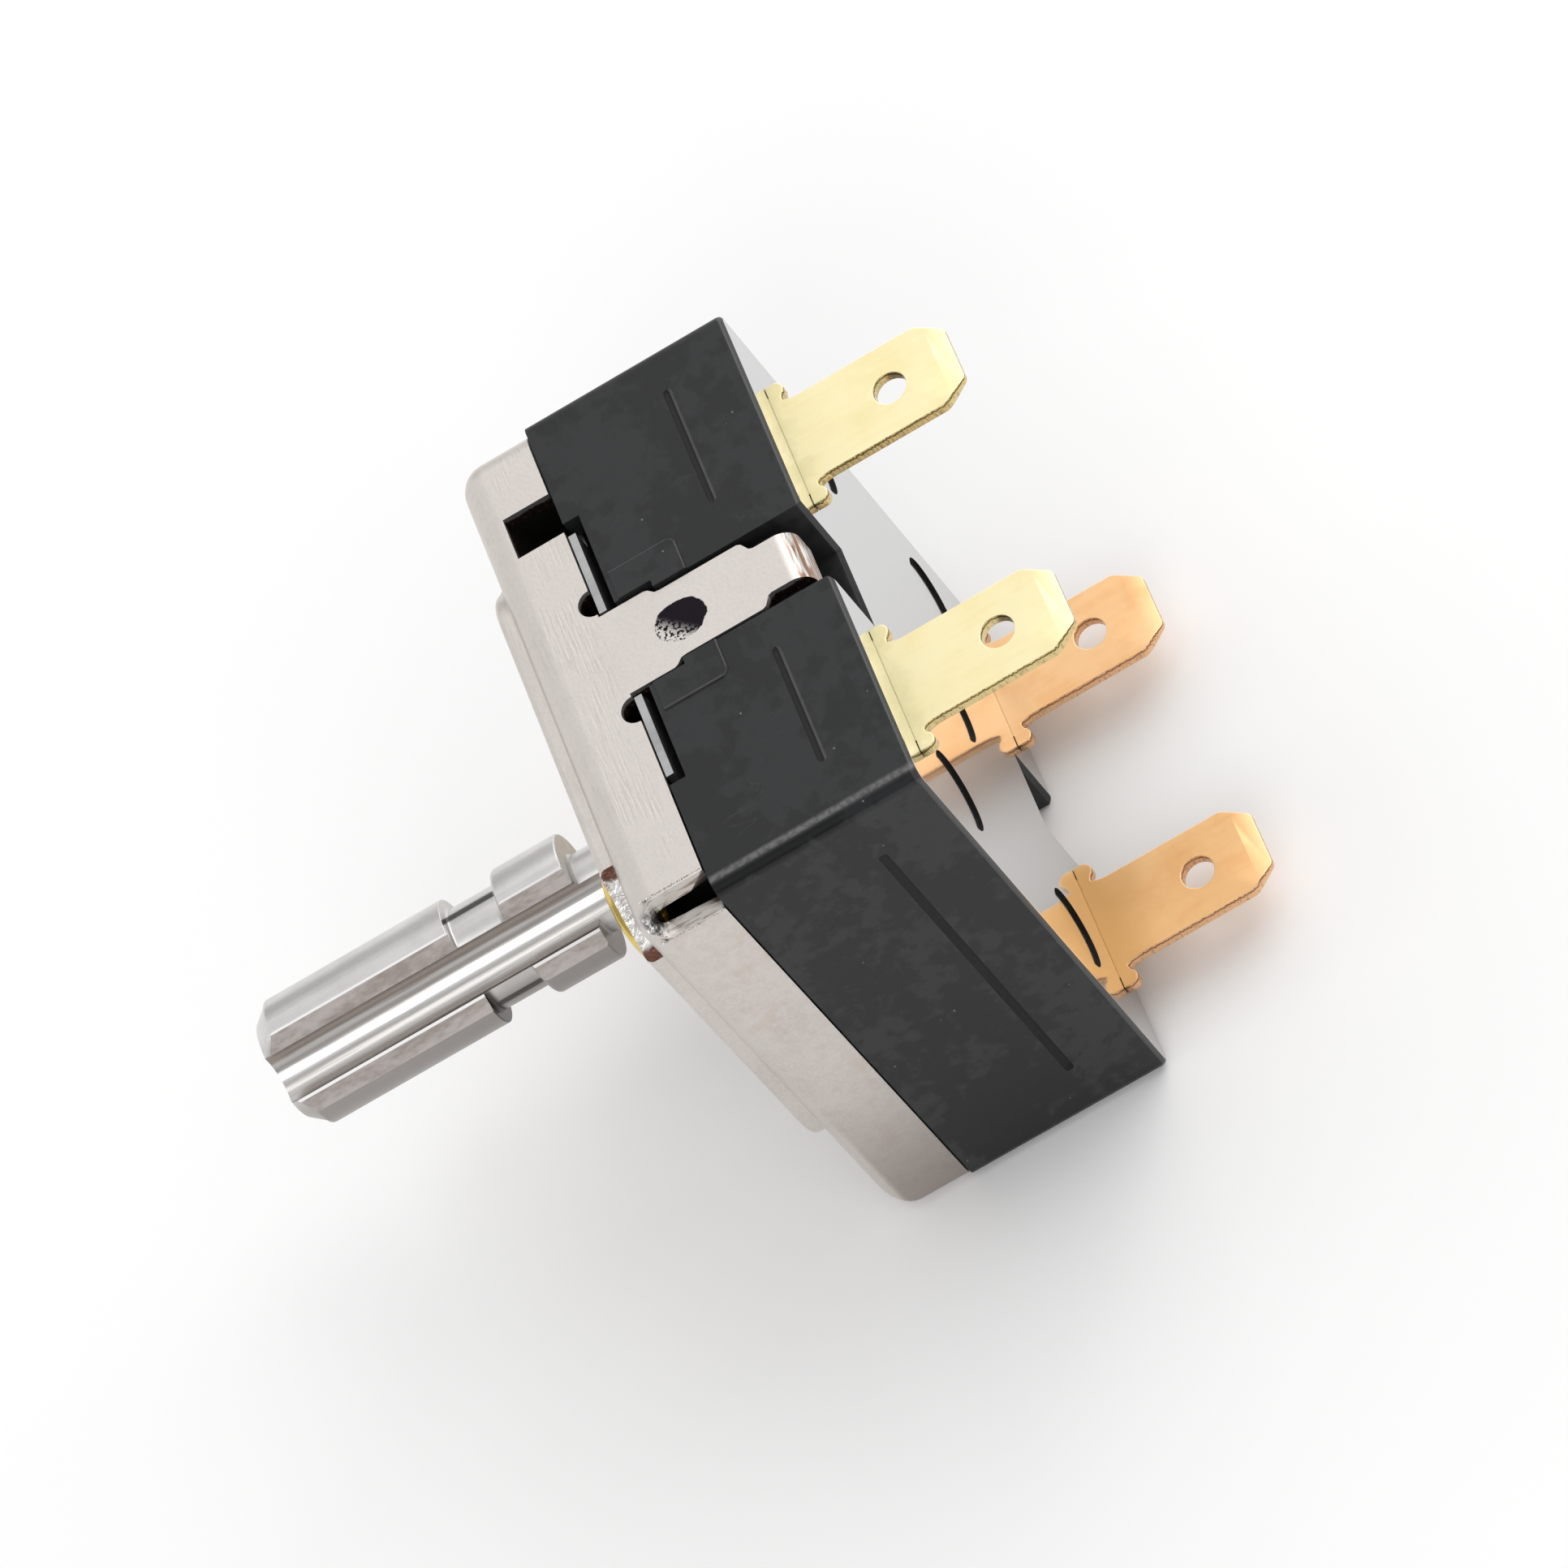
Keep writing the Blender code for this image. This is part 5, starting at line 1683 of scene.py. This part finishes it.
@dataclass
class Terminal:
    """One blade terminal with its ears, its hole, its thinned tip and its inner limb."""

    bench: Workbench
    number: int
    row: TabRow
    side: int
    half: float = 3.175
    tip: float = 25.4
    foot: float = 13.96
    inner: float = 10.65
    blade_from_axis: float = 8.4
    leg_x: float = 5.2
    tip_half: float = 0.16
    hole_y: float = 20.97
    hole_radius: float = 1.1
    limb_thickness: float = 0.4
    limb_half: float = 2.5
    cam_radius: float = 6.8
    cam_gap: float = 0.3
    rivet_hole: float = 0.85
    leg_end: float = 3.6
    leg_back: float = 8.6
    leg_low: float = 7.2
    bow_half: float = 2.6
    limb_high: float = 11.2

    def outline(self, inner_low: float, inner_high: float) -> list[Point]:
        """Return the blade's outline about its own middle.

        Args:
            inner_low: Left end of the part inside the housing.
            inner_high: Right end of the part inside the housing.

        Returns:
            Points as X from the middle and Y.
        """
        half = self.half
        right = [(half - 1.35, self.tip), (half - 1.1, self.tip - 0.1), (half - 0.08, self.tip - 1.6)]
        right += [(half, self.tip - 1.85), (half, 15.6), (half + 0.04, 15.3), (half + 0.14, 14.95)]
        right += [(half + 0.2, 14.77), (half + 0.28, 14.7), (half + 0.42, 14.72)]
        right += arc((4.3, 14.5), 0.55, 148.0, 0.0, 8)
        right += [(4.85, self.foot), (4.0, self.foot), (4.0, self.inner)]
        left = [(-a, b) for a, b in right]
        right += [(inner_high, self.inner), (inner_high, self.leg_end)]
        left += [(inner_low, self.inner), (inner_low, self.leg_end)]
        return right + left[::-1]

    def plate(self) -> Solid:
        """Return the blade's flat part.

        Returns:
            The flat part.
        """
        centre = self.side * BLADE_X
        if self.row is TabRow.UPPER:
            ends = sorted((self.side * self.leg_x - centre, self.side * self.half))
        else:
            ends = [-self.half, self.half]
        points = [(centre + a, b) for a, b in self.outline(ends[0], ends[1])]
        height = self.row.value.height
        levels = (height - BLADE_THICKNESS / 2, height + BLADE_THICKNESS / 2)
        rings = [ring(points, level, Axis.Z) for level in levels]
        return loft(rings, edge_rows=tuple(range(len(points))))

    def wedges(self) -> list[Solid]:
        """Return the cutters that thin the blade towards its tip.

        Returns:
            The cutters.
        """
        centre = self.side * BLADE_X
        height = self.row.value.height
        cuts = []
        for side in (1, -1):
            start = self.tip - 1.15
            end = self.tip + 0.5
            slope = [(start, height + side * BLADE_THICKNESS / 2), (end, height + side * self.tip_half)]
            outline = slope + [(end, height + side * 2.0), (start, height + side * 2.0)]
            cuts.append(prism(outline, centre - 6.0, centre + 6.0, Axis.X))
        return cuts

    def limb(self) -> Solid:
        """Return the leg of an upper terminal or the spring blade of a lower one.

        Returns:
            The leg or the spring blade.
        """
        side = self.side
        if self.row is TabRow.UPPER:
            xs = sorted((side * self.leg_x, side * (self.leg_x + BLADE_THICKNESS)))
            return block((xs[0], self.leg_end, self.leg_low), (xs[1], self.leg_back, UPPER_Z))
        near = self.cam_radius + self.cam_gap + self.limb_thickness / 2
        bow = self.bow_half
        path = [(side * self.blade_from_axis, LOWER_Z), (side * self.blade_from_axis, -bow)]
        for step in range(1, 20):
            share = step / 20
            dip = (self.blade_from_axis - near) * math.sin(math.pi * share) ** 2
            path.append((side * (self.blade_from_axis - dip), -bow + 2 * bow * share))
        path += [(side * self.blade_from_axis, bow), (side * self.blade_from_axis, self.limb_high)]
        strip = ribbon(path, [self.limb_half] * len(path), self.limb_thickness, Axis.Y)
        bmesh.ops.translate(strip, verts=strip.verts, vec=Vector((0.0, CONTACT_Y, 0.0)))
        return strip

    def build(self) -> None:
        """Build and dress the terminal."""
        bench = self.bench
        kind = self.row.value
        centre = self.side * BLADE_X
        name = f"blade_terminal_{self.number}"
        body = bench.as_object(name, self.plate(), (kind.face, kind.edge))
        outline = circle((centre, self.hole_y), self.hole_radius, 40)
        hole = prism(outline, kind.height - 1.0, kind.height + 1.0, Axis.Z)
        bench.change(body, Cut.REMOVE, hole, kind.edge)
        for wedge in self.wedges():
            bench.change(body, Cut.REMOVE, wedge, kind.face)
        bench.change(body, Cut.ADD, self.limb(), kind.face)
        low, high = sorted((self.side * 4.0, self.side * 10.0))
        rivet_hole = circle((CONTACT_Y, CONTACT_Z), self.rivet_hole, 24)
        bench.change(body, Cut.REMOVE, prism(rivet_hole, low, high, Axis.X), kind.edge)
        bench.soften(body, 0.06, 40.0)
        bench.deliver(body, Body.CASE, kind.slot, [f"terminal_{self.number}"], weight=100)


@dataclass
class MountingInserts:
    """The two brass inserts with rolled heads in the raised pad."""

    bench: Workbench
    pad_front: float = -6.2
    head_radius: float = 3.0
    head_height: float = 0.65
    bore: float = 1.5
    barrel: float = 1.95
    foot_radius: float = 2.45

    def profile(self) -> list[Point]:
        """Return the turned outline, with a domed head that rolls into the bore.

        Returns:
            Points of radius and place along Y.
        """
        seat = self.pad_front - 0.1
        foot = self.pad_front + 1.1
        middle = (self.head_radius + self.bore) / 2
        roll = (self.head_radius - self.bore) / 2
        dome = []
        for step in range(0, 19):
            angle = math.radians(180.0 - step * 10.0)
            rise = self.head_height * math.sin(angle) ** 0.75
            dome.append((middle + roll * math.cos(angle), seat - rise))
        bore = [(self.bore, foot + 0.4), (self.bore, foot)]
        rest = [(self.barrel, seat), (self.barrel, foot), (self.foot_radius, foot)]
        return bore + dome + rest + [(self.foot_radius, foot + 0.4)]

    def build(self) -> None:
        """Build and dress both inserts."""
        for number, side in ((1, 1), (2, -1)):
            insert = turned(self.profile(), 72, (side * INSERT_SPOT, side * INSERT_SPOT))
            body = self.bench.as_object(f"screw_insert_{number}", insert, ("insert",))
            self.bench.soften(body, 0.04, 40.0)
            self.bench.deliver(body, Body.CASE, "brass", [f"mounting_insert_{number}"])


class Recipe(NodeTree):
    """A geometry node tree with named sizes, evaluated once into a plain mesh."""

    def __init__(self, name: str) -> None:
        """Start a tree with one geometry output.

        Args:
            name: Name of the tree.
        """
        super().__init__(bpy.data.node_groups.new(name, "GeometryNodeTree"))
        self.tree.interface.new_socket("Geometry", in_out="OUTPUT", socket_type="NodeSocketGeometry")
        self.given = self.tree.nodes.new("NodeGroupInput")
        self.result = self.tree.nodes.new("NodeGroupOutput")
        self.values: dict[str, object] = {}

    def size(self, name: str, value: object, kind: str = "Float") -> None:
        """Declare a named input and its value."""
        self.tree.interface.new_socket(name, in_out="INPUT", socket_type="NodeSocket" + kind)
        self.values[name] = value

    def feed(self, node: bpy.types.Node, name: str, value: object) -> None:
        """Feed a node's input; text stands for the declared size of that name.

        Args:
            node: The node.
            name: The input's label, with _ for a space, or i and its number.
            value: Name of a size, another node's output, or a plain value.
        """
        declared = isinstance(value, str) and value in self.values
        super().feed(node, name, self.given.outputs[value] if declared else value)

    def finish(self, geometry: bpy.types.NodeSocket, material: bpy.types.Material) -> None:
        """End the tree with realised instances and their finish.

        Args:
            geometry: The shape that the tree ends with.
            material: Its finish.
        """
        real = self.node("GeometryNodeRealizeInstances", Geometry=geometry)
        shown = self.node("GeometryNodeSetMaterial", Geometry=real.outputs[0], Material=material)
        self.tree.links.new(shown.outputs[0], self.result.inputs[0])

    def cook(self, name: str) -> Piece:
        """Run the tree and return its plain mesh as an object.

        Args:
            name: Name of the new object.

        Returns:
            The object.
        """
        made = linked(name, bpy.data.meshes.new(name))
        step = made.modifiers.new("recipe", "NODES")
        step.node_group = self.tree
        for item in self.tree.interface.items_tree:
            if item.in_out == "INPUT":
                step[item.identifier] = self.values[item.name]
        settle(made)
        return made


@dataclass
class DetentSprings:
    """The two coil springs behind the index balls, wound by a node tree."""

    bench: Workbench
    radius: float = 0.8
    wire: float = 0.125
    turns: float = 3.5
    low: float = -3.9
    high: float = -2.33
    spot: float = 8.1317

    def recipe(self) -> Recipe:
        """Return the tree that winds one spring along Z.

        Returns:
            The tree.
        """
        recipe = Recipe("coil_spring")
        recipe.size("Coil Radius", self.radius)
        recipe.size("Wire Radius", self.wire)
        recipe.size("Turns", self.turns)
        recipe.size("Length", self.high - self.low - 2 * self.wire)
        spiral = recipe.node(
            "GeometryNodeCurveSpiral",
            Resolution=24,
            Rotations="Turns",
            Start_Radius="Coil Radius",
            End_Radius="Coil Radius",
            Height="Length",
        )
        wire = recipe.node("GeometryNodeCurvePrimitiveCircle", Resolution=10, Radius="Wire Radius")
        coil = recipe.node(
            "GeometryNodeCurveToMesh",
            Curve=spiral.outputs[0],
            Profile_Curve=wire.outputs[0],
            Fill_Caps=True,
        )
        recipe.finish(coil.outputs[0], self.bench.materials["bright_steel"])
        return recipe

    def build(self) -> None:
        """Wind and dress both springs."""
        recipe = self.recipe()
        for number, side in ((1, 1), (2, -1)):
            coil = recipe.cook(f"index_spring_{number}")
            offset = Vector((side * self.spot, self.low + self.wire, side * self.spot))
            turn = Matrix.Rotation(math.radians(-90.0), 4, "X")
            coil.data.transform(Matrix.Translation(offset) @ turn)
            self.bench.deliver(coil, Body.ROTOR, "bright_steel", [f"detent_spring_{number}"])


@dataclass
class ContactRivets:
    """The four silver contact rivets, set on points by a node tree."""

    bench: Workbench
    radius: float = 1.5
    head: float = 0.5
    shank: float = 0.7
    upset_radius: float = 1.1
    upset: float = 0.3
    fixed: Point = (1.5, 6.6)
    moving: Point = (1.1, 7.6)

    def rivet(self, grip: float) -> Solid:
        """Return one rivet along +X, its face at the origin.

        Args:
            grip: Distance from the face to the far side of the blade.

        Returns:
            The rivet's solid.
        """
        outline = [(0.0, 0.0), (0.8, 0.015), (1.2, 0.08), (1.4, 0.2), (self.radius, 0.34)]
        outline += [(self.radius, self.head), (self.shank, self.head), (self.shank, grip)]
        end = grip + self.upset
        outline += [(self.upset_radius, grip), (self.upset_radius - 0.1, end), (0.0, end)]
        made = turned(outline, 40)
        bmesh.ops.rotate(made, verts=made.verts, matrix=Matrix.Rotation(math.radians(-90.0), 3, "Z"))
        return made

    def row(self, name: str, grip: float, reach: float, facing: int, nodes: list[str]) -> None:
        """Set one pair of rivets.

        Args:
            name: Name of the piece.
            grip: Grip of the rivets.
            reach: Distance of their faces from the spindle's axis.
            facing: +1 if the faces look outwards, -1 if inwards.
            nodes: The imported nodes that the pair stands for.
        """
        source = self.bench.as_object(name + "_source", self.rivet(grip), ("silver",))
        recipe = Recipe(name + "_tree")
        recipe.size("Rivet", source, "Object")
        recipe.size("Reach", reach)
        recipe.size("Height", CONTACT_Z)
        recipe.size("Depth", CONTACT_Y)
        link = recipe.node("GeometryNodeObjectInfo", Object="Rivet")
        joined = recipe.node("GeometryNodeJoinGeometry")
        for side in (1, -1):
            flip = recipe.node("ShaderNodeMath", operation="MULTIPLY", i0="Reach", i1=side)
            spot = recipe.node("ShaderNodeCombineXYZ", X=flip.outputs[0], Y="Depth", Z="Height")
            turn = math.pi if side * facing > 0 else 0.0
            moved = recipe.node(
                "GeometryNodeTransform",
                Geometry=link.outputs["Geometry"],
                Translation=spot.outputs[0],
                Rotation=(0.0, 0.0, turn),
            )
            recipe.tree.links.new(moved.outputs[0], joined.inputs[0])
        recipe.finish(joined.outputs[0], self.bench.materials["silver"])
        pair = recipe.cook(name)
        bpy.data.objects.remove(source)
        self.bench.deliver(pair, Body.CASE, "silver_contact", nodes)

    def build(self) -> None:
        """Set the fixed and the moving pair."""
        self.row("fixed_contact_rivets", *self.fixed, 1, ["fixed_contact_1", "fixed_contact_2"])
        self.row("moving_contact_rivets", *self.moving, -1, ["moving_contact_3", "moving_contact_4"])


@dataclass
class ShearBurrs:
    """Fine crumpled beads of metal along the sheared edges, strewn by a node tree."""

    bench: Workbench
    size: float = 0.085
    spacing: float = 0.15
    seed: int = 7
    least: Place = (0.5, 0.5, 0.5)
    most: Place = (1.5, 1.7, 1.2)

    def edges(self) -> Solid:
        """Return the edges that carry a burr, at the corner of both seen sides and at the far one.

        Returns:
            The edges.
        """
        wire = bmesh.new()
        lines = (
            ((12.5, -6.13, 17.28), (17.2, -6.13, 14.03)),
            ((16.93, -4.2, 18.88), (16.93, -0.1, 18.88)),
            ((18.86, -4.3, 16.92), (18.86, -0.1, 16.92)),
        )
        for line in lines:
            for side in (1, -1):
                wire.edges.new([wire.verts.new((side * x, y, side * z)) for x, y, z in line])
        return wire

    def recipe(self, source: Piece) -> Recipe:
        """Return the tree that strews beads along the edges of a wire mesh.

        Args:
            source: The wire mesh.

        Returns:
            The tree.
        """
        recipe = Recipe("shear_burr")
        recipe.size("Edges", source, "Object")
        recipe.size("Bead Size", self.size)
        recipe.size("Spacing", self.spacing)
        recipe.size("Seed", self.seed, "Int")
        link = recipe.node("GeometryNodeObjectInfo", Object="Edges")
        curve = recipe.node("GeometryNodeMeshToCurve", Mesh=link.outputs["Geometry"])
        points = recipe.node(
            "GeometryNodeCurveToPoints", mode="LENGTH", Curve=curve.outputs[0], Length="Spacing"
        )
        bead = recipe.node("GeometryNodeMeshIcoSphere", Radius="Bead Size", Subdivisions=1)
        scale, turn = (
            recipe.node("FunctionNodeRandomValue", data_type="FLOAT_VECTOR", i0=low, i1=high, Seed="Seed")
            for low, high in ((self.least, self.most), ((0.0, 0.0, 0.0), (math.pi, math.pi, math.pi)))
        )
        beads = recipe.node(
            "GeometryNodeInstanceOnPoints",
            Points=points.outputs[0],
            Instance=bead.outputs[0],
            Scale=scale.outputs[0],
            Rotation=turn.outputs[0],
        )
        recipe.finish(beads.outputs[0], self.bench.materials["burr"])
        return recipe

    def build(self) -> None:
        """Strew and dress the burrs."""
        source = self.bench.as_object("burr_edges", self.edges(), ())
        beads = self.recipe(source).cook("sheared_corner_burr")
        bpy.data.objects.remove(source)
        self.bench.deliver(beads, Body.CASE, "nickel_steel", [])


@dataclass
class InnerWorks:
    """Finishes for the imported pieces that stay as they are."""

    bench: Workbench
    finishes: dict[str, str] = field(
        default_factory=lambda: {
            "detent_plate": "bright_steel",
            "spindle_washer": "bright_steel",
            "index_rotor": "black",
            "contact_cam": "nylon",
            "detent_ball_1": "bright_steel",
            "detent_ball_2": "bright_steel",
        }
    )

    def build(self, nodes: dict[str, Piece]) -> None:
        """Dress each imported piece.

        Args:
            nodes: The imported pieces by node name.
        """
        for name, finish in self.finishes.items():
            data = nodes[name].data
            data.materials.clear()
            data.materials.append(self.bench.materials[finish])
            LOG.info("%s: packed piece in %s", name, finish)


@dataclass
class Studio:
    """Pale floor, soft light and the photographer's view."""

    azimuth: float = 105.0026
    elevation: float = 51.3365
    roll: float = -41.6911
    distance: float = 586.1817
    aside: Point = (-1.243, -0.7449)
    target: Place = (0.0, 4.0, 0.0)
    lens: float = 222.3
    sky: float = 0.46

    def view_axes(self) -> tuple[Vector, Vector, Vector]:
        """Return the view's right, up and forward directions.

        Returns:
            The three directions.
        """
        a, e, r = (math.radians(v) for v in (self.azimuth, self.elevation, self.roll))
        forward = -Vector((math.sin(a) * math.cos(e), -math.cos(a) * math.cos(e), math.sin(e)))
        right = forward.cross(Vector((0.0, 0.0, 1.0))).normalized()
        up = right.cross(forward)
        turned_right = math.cos(r) * right + math.sin(r) * up
        turned_up = -math.sin(r) * right + math.cos(r) * up
        return turned_right, turned_up, forward

    def camera(self) -> None:
        """Set up the camera at the photograph's place."""
        right, up, forward = self.view_axes()
        spot = Vector(self.target) - forward * self.distance + right * self.aside[0] + up * self.aside[1]
        pose = Matrix((right, up, -forward)).transposed().to_4x4()
        pose.translation = (spot + FRAME_SHIFT) * MM
        data = bpy.data.cameras.new("camera")
        data.lens = self.lens
        data.sensor_width = 36.0
        data.clip_start = 0.01
        made = linked("camera", data)
        made.matrix_world = pose
        bpy.context.scene.camera = made

    def floor(self) -> None:
        """Lay the pale floor."""
        mesh = bmesh.new()
        bmesh.ops.create_grid(mesh, x_segments=1, y_segments=1, size=3.0)
        data = bpy.data.meshes.new("floor")
        mesh.to_mesh(data)
        mesh.free()
        finish = bpy.data.materials.new("pale_floor")
        finish.use_nodes = True
        shader = finish.node_tree.nodes["Principled BSDF"]
        shader.inputs["Base Color"].default_value = (0.97, 0.965, 0.965, 1.0)
        shader.inputs["Roughness"].default_value = 0.8
        data.materials.append(finish)
        linked("floor", data)

    def lamp(self, name: str, spot: Place, size: float, power: float) -> None:
        """Hang one square soft lamp that looks at the switch.

        Args:
            name: Name of the lamp.
            spot: The lamp's place in metres.
            size: Side of the lamp in metres.
            power: The lamp's power in watts.
        """
        data = bpy.data.lights.new(name, "AREA")
        data.size = size
        data.energy = power
        made = linked(name, data)
        made.location = spot
        heading = Vector((0.0, 0.0, 0.02)) - Vector(spot)
        made.rotation_euler = heading.to_track_quat("-Z", "Y").to_euler()

    def light(self) -> None:
        """Set the even sky and the soft lamps."""
        world = bpy.data.worlds.new("studio")
        bpy.context.scene.world = world
        world.use_nodes = True
        sky = world.node_tree.nodes["Background"]
        sky.inputs[0].default_value = (1.0, 1.0, 1.0, 1.0)
        sky.inputs[1].default_value = self.sky
        self.lamp("key", (-0.352, 0.553, 0.755), 0.8, 3.7)
        self.lamp("top", (-0.851, 0.300, 0.430), 0.8, 2.05)
        self.lamp("upper_left", (-0.604, -0.162, 0.781), 0.8, 0.8)
        self.lamp("near", (0.745, 0.298, 0.596), 0.8, 1.4)
        self.lamp("low_left", (-0.604, -0.757, 0.380), 0.8, 1.0)
        self.lamp("spindle_side", (0.780, -0.162, 0.604), 0.5, 1.5)
        self.lamp("overhead", (0.0, -0.16, 0.99), 0.35, 0.6)

    def build(self) -> None:
        """Set up the whole studio."""
        bpy.context.scene.view_settings.view_transform = "Standard"
        self.camera()
        self.floor()
        self.light()


def main() -> None:
    """Build the whole scene."""
    logging.basicConfig(level=logging.INFO, format="%(name)s: %(message)s")
    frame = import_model()
    bench = Workbench(make_finishes())
    Studio().build()
    FrontPlate(bench).build()
    Housing(bench).build()
    Spindle(bench).build()
    for number, row, side in (
        (1, TabRow.UPPER, -1),
        (2, TabRow.UPPER, 1),
        (3, TabRow.LOWER, -1),
        (4, TabRow.LOWER, 1),
    ):
        Terminal(bench, number, row, side).build()
    MountingInserts(bench).build()
    DetentSprings(bench).build()
    ContactRivets(bench).build()
    ShearBurrs(bench).build()
    InnerWorks(bench).build(frame["nodes"])


if __name__ == "__main__":
    main()
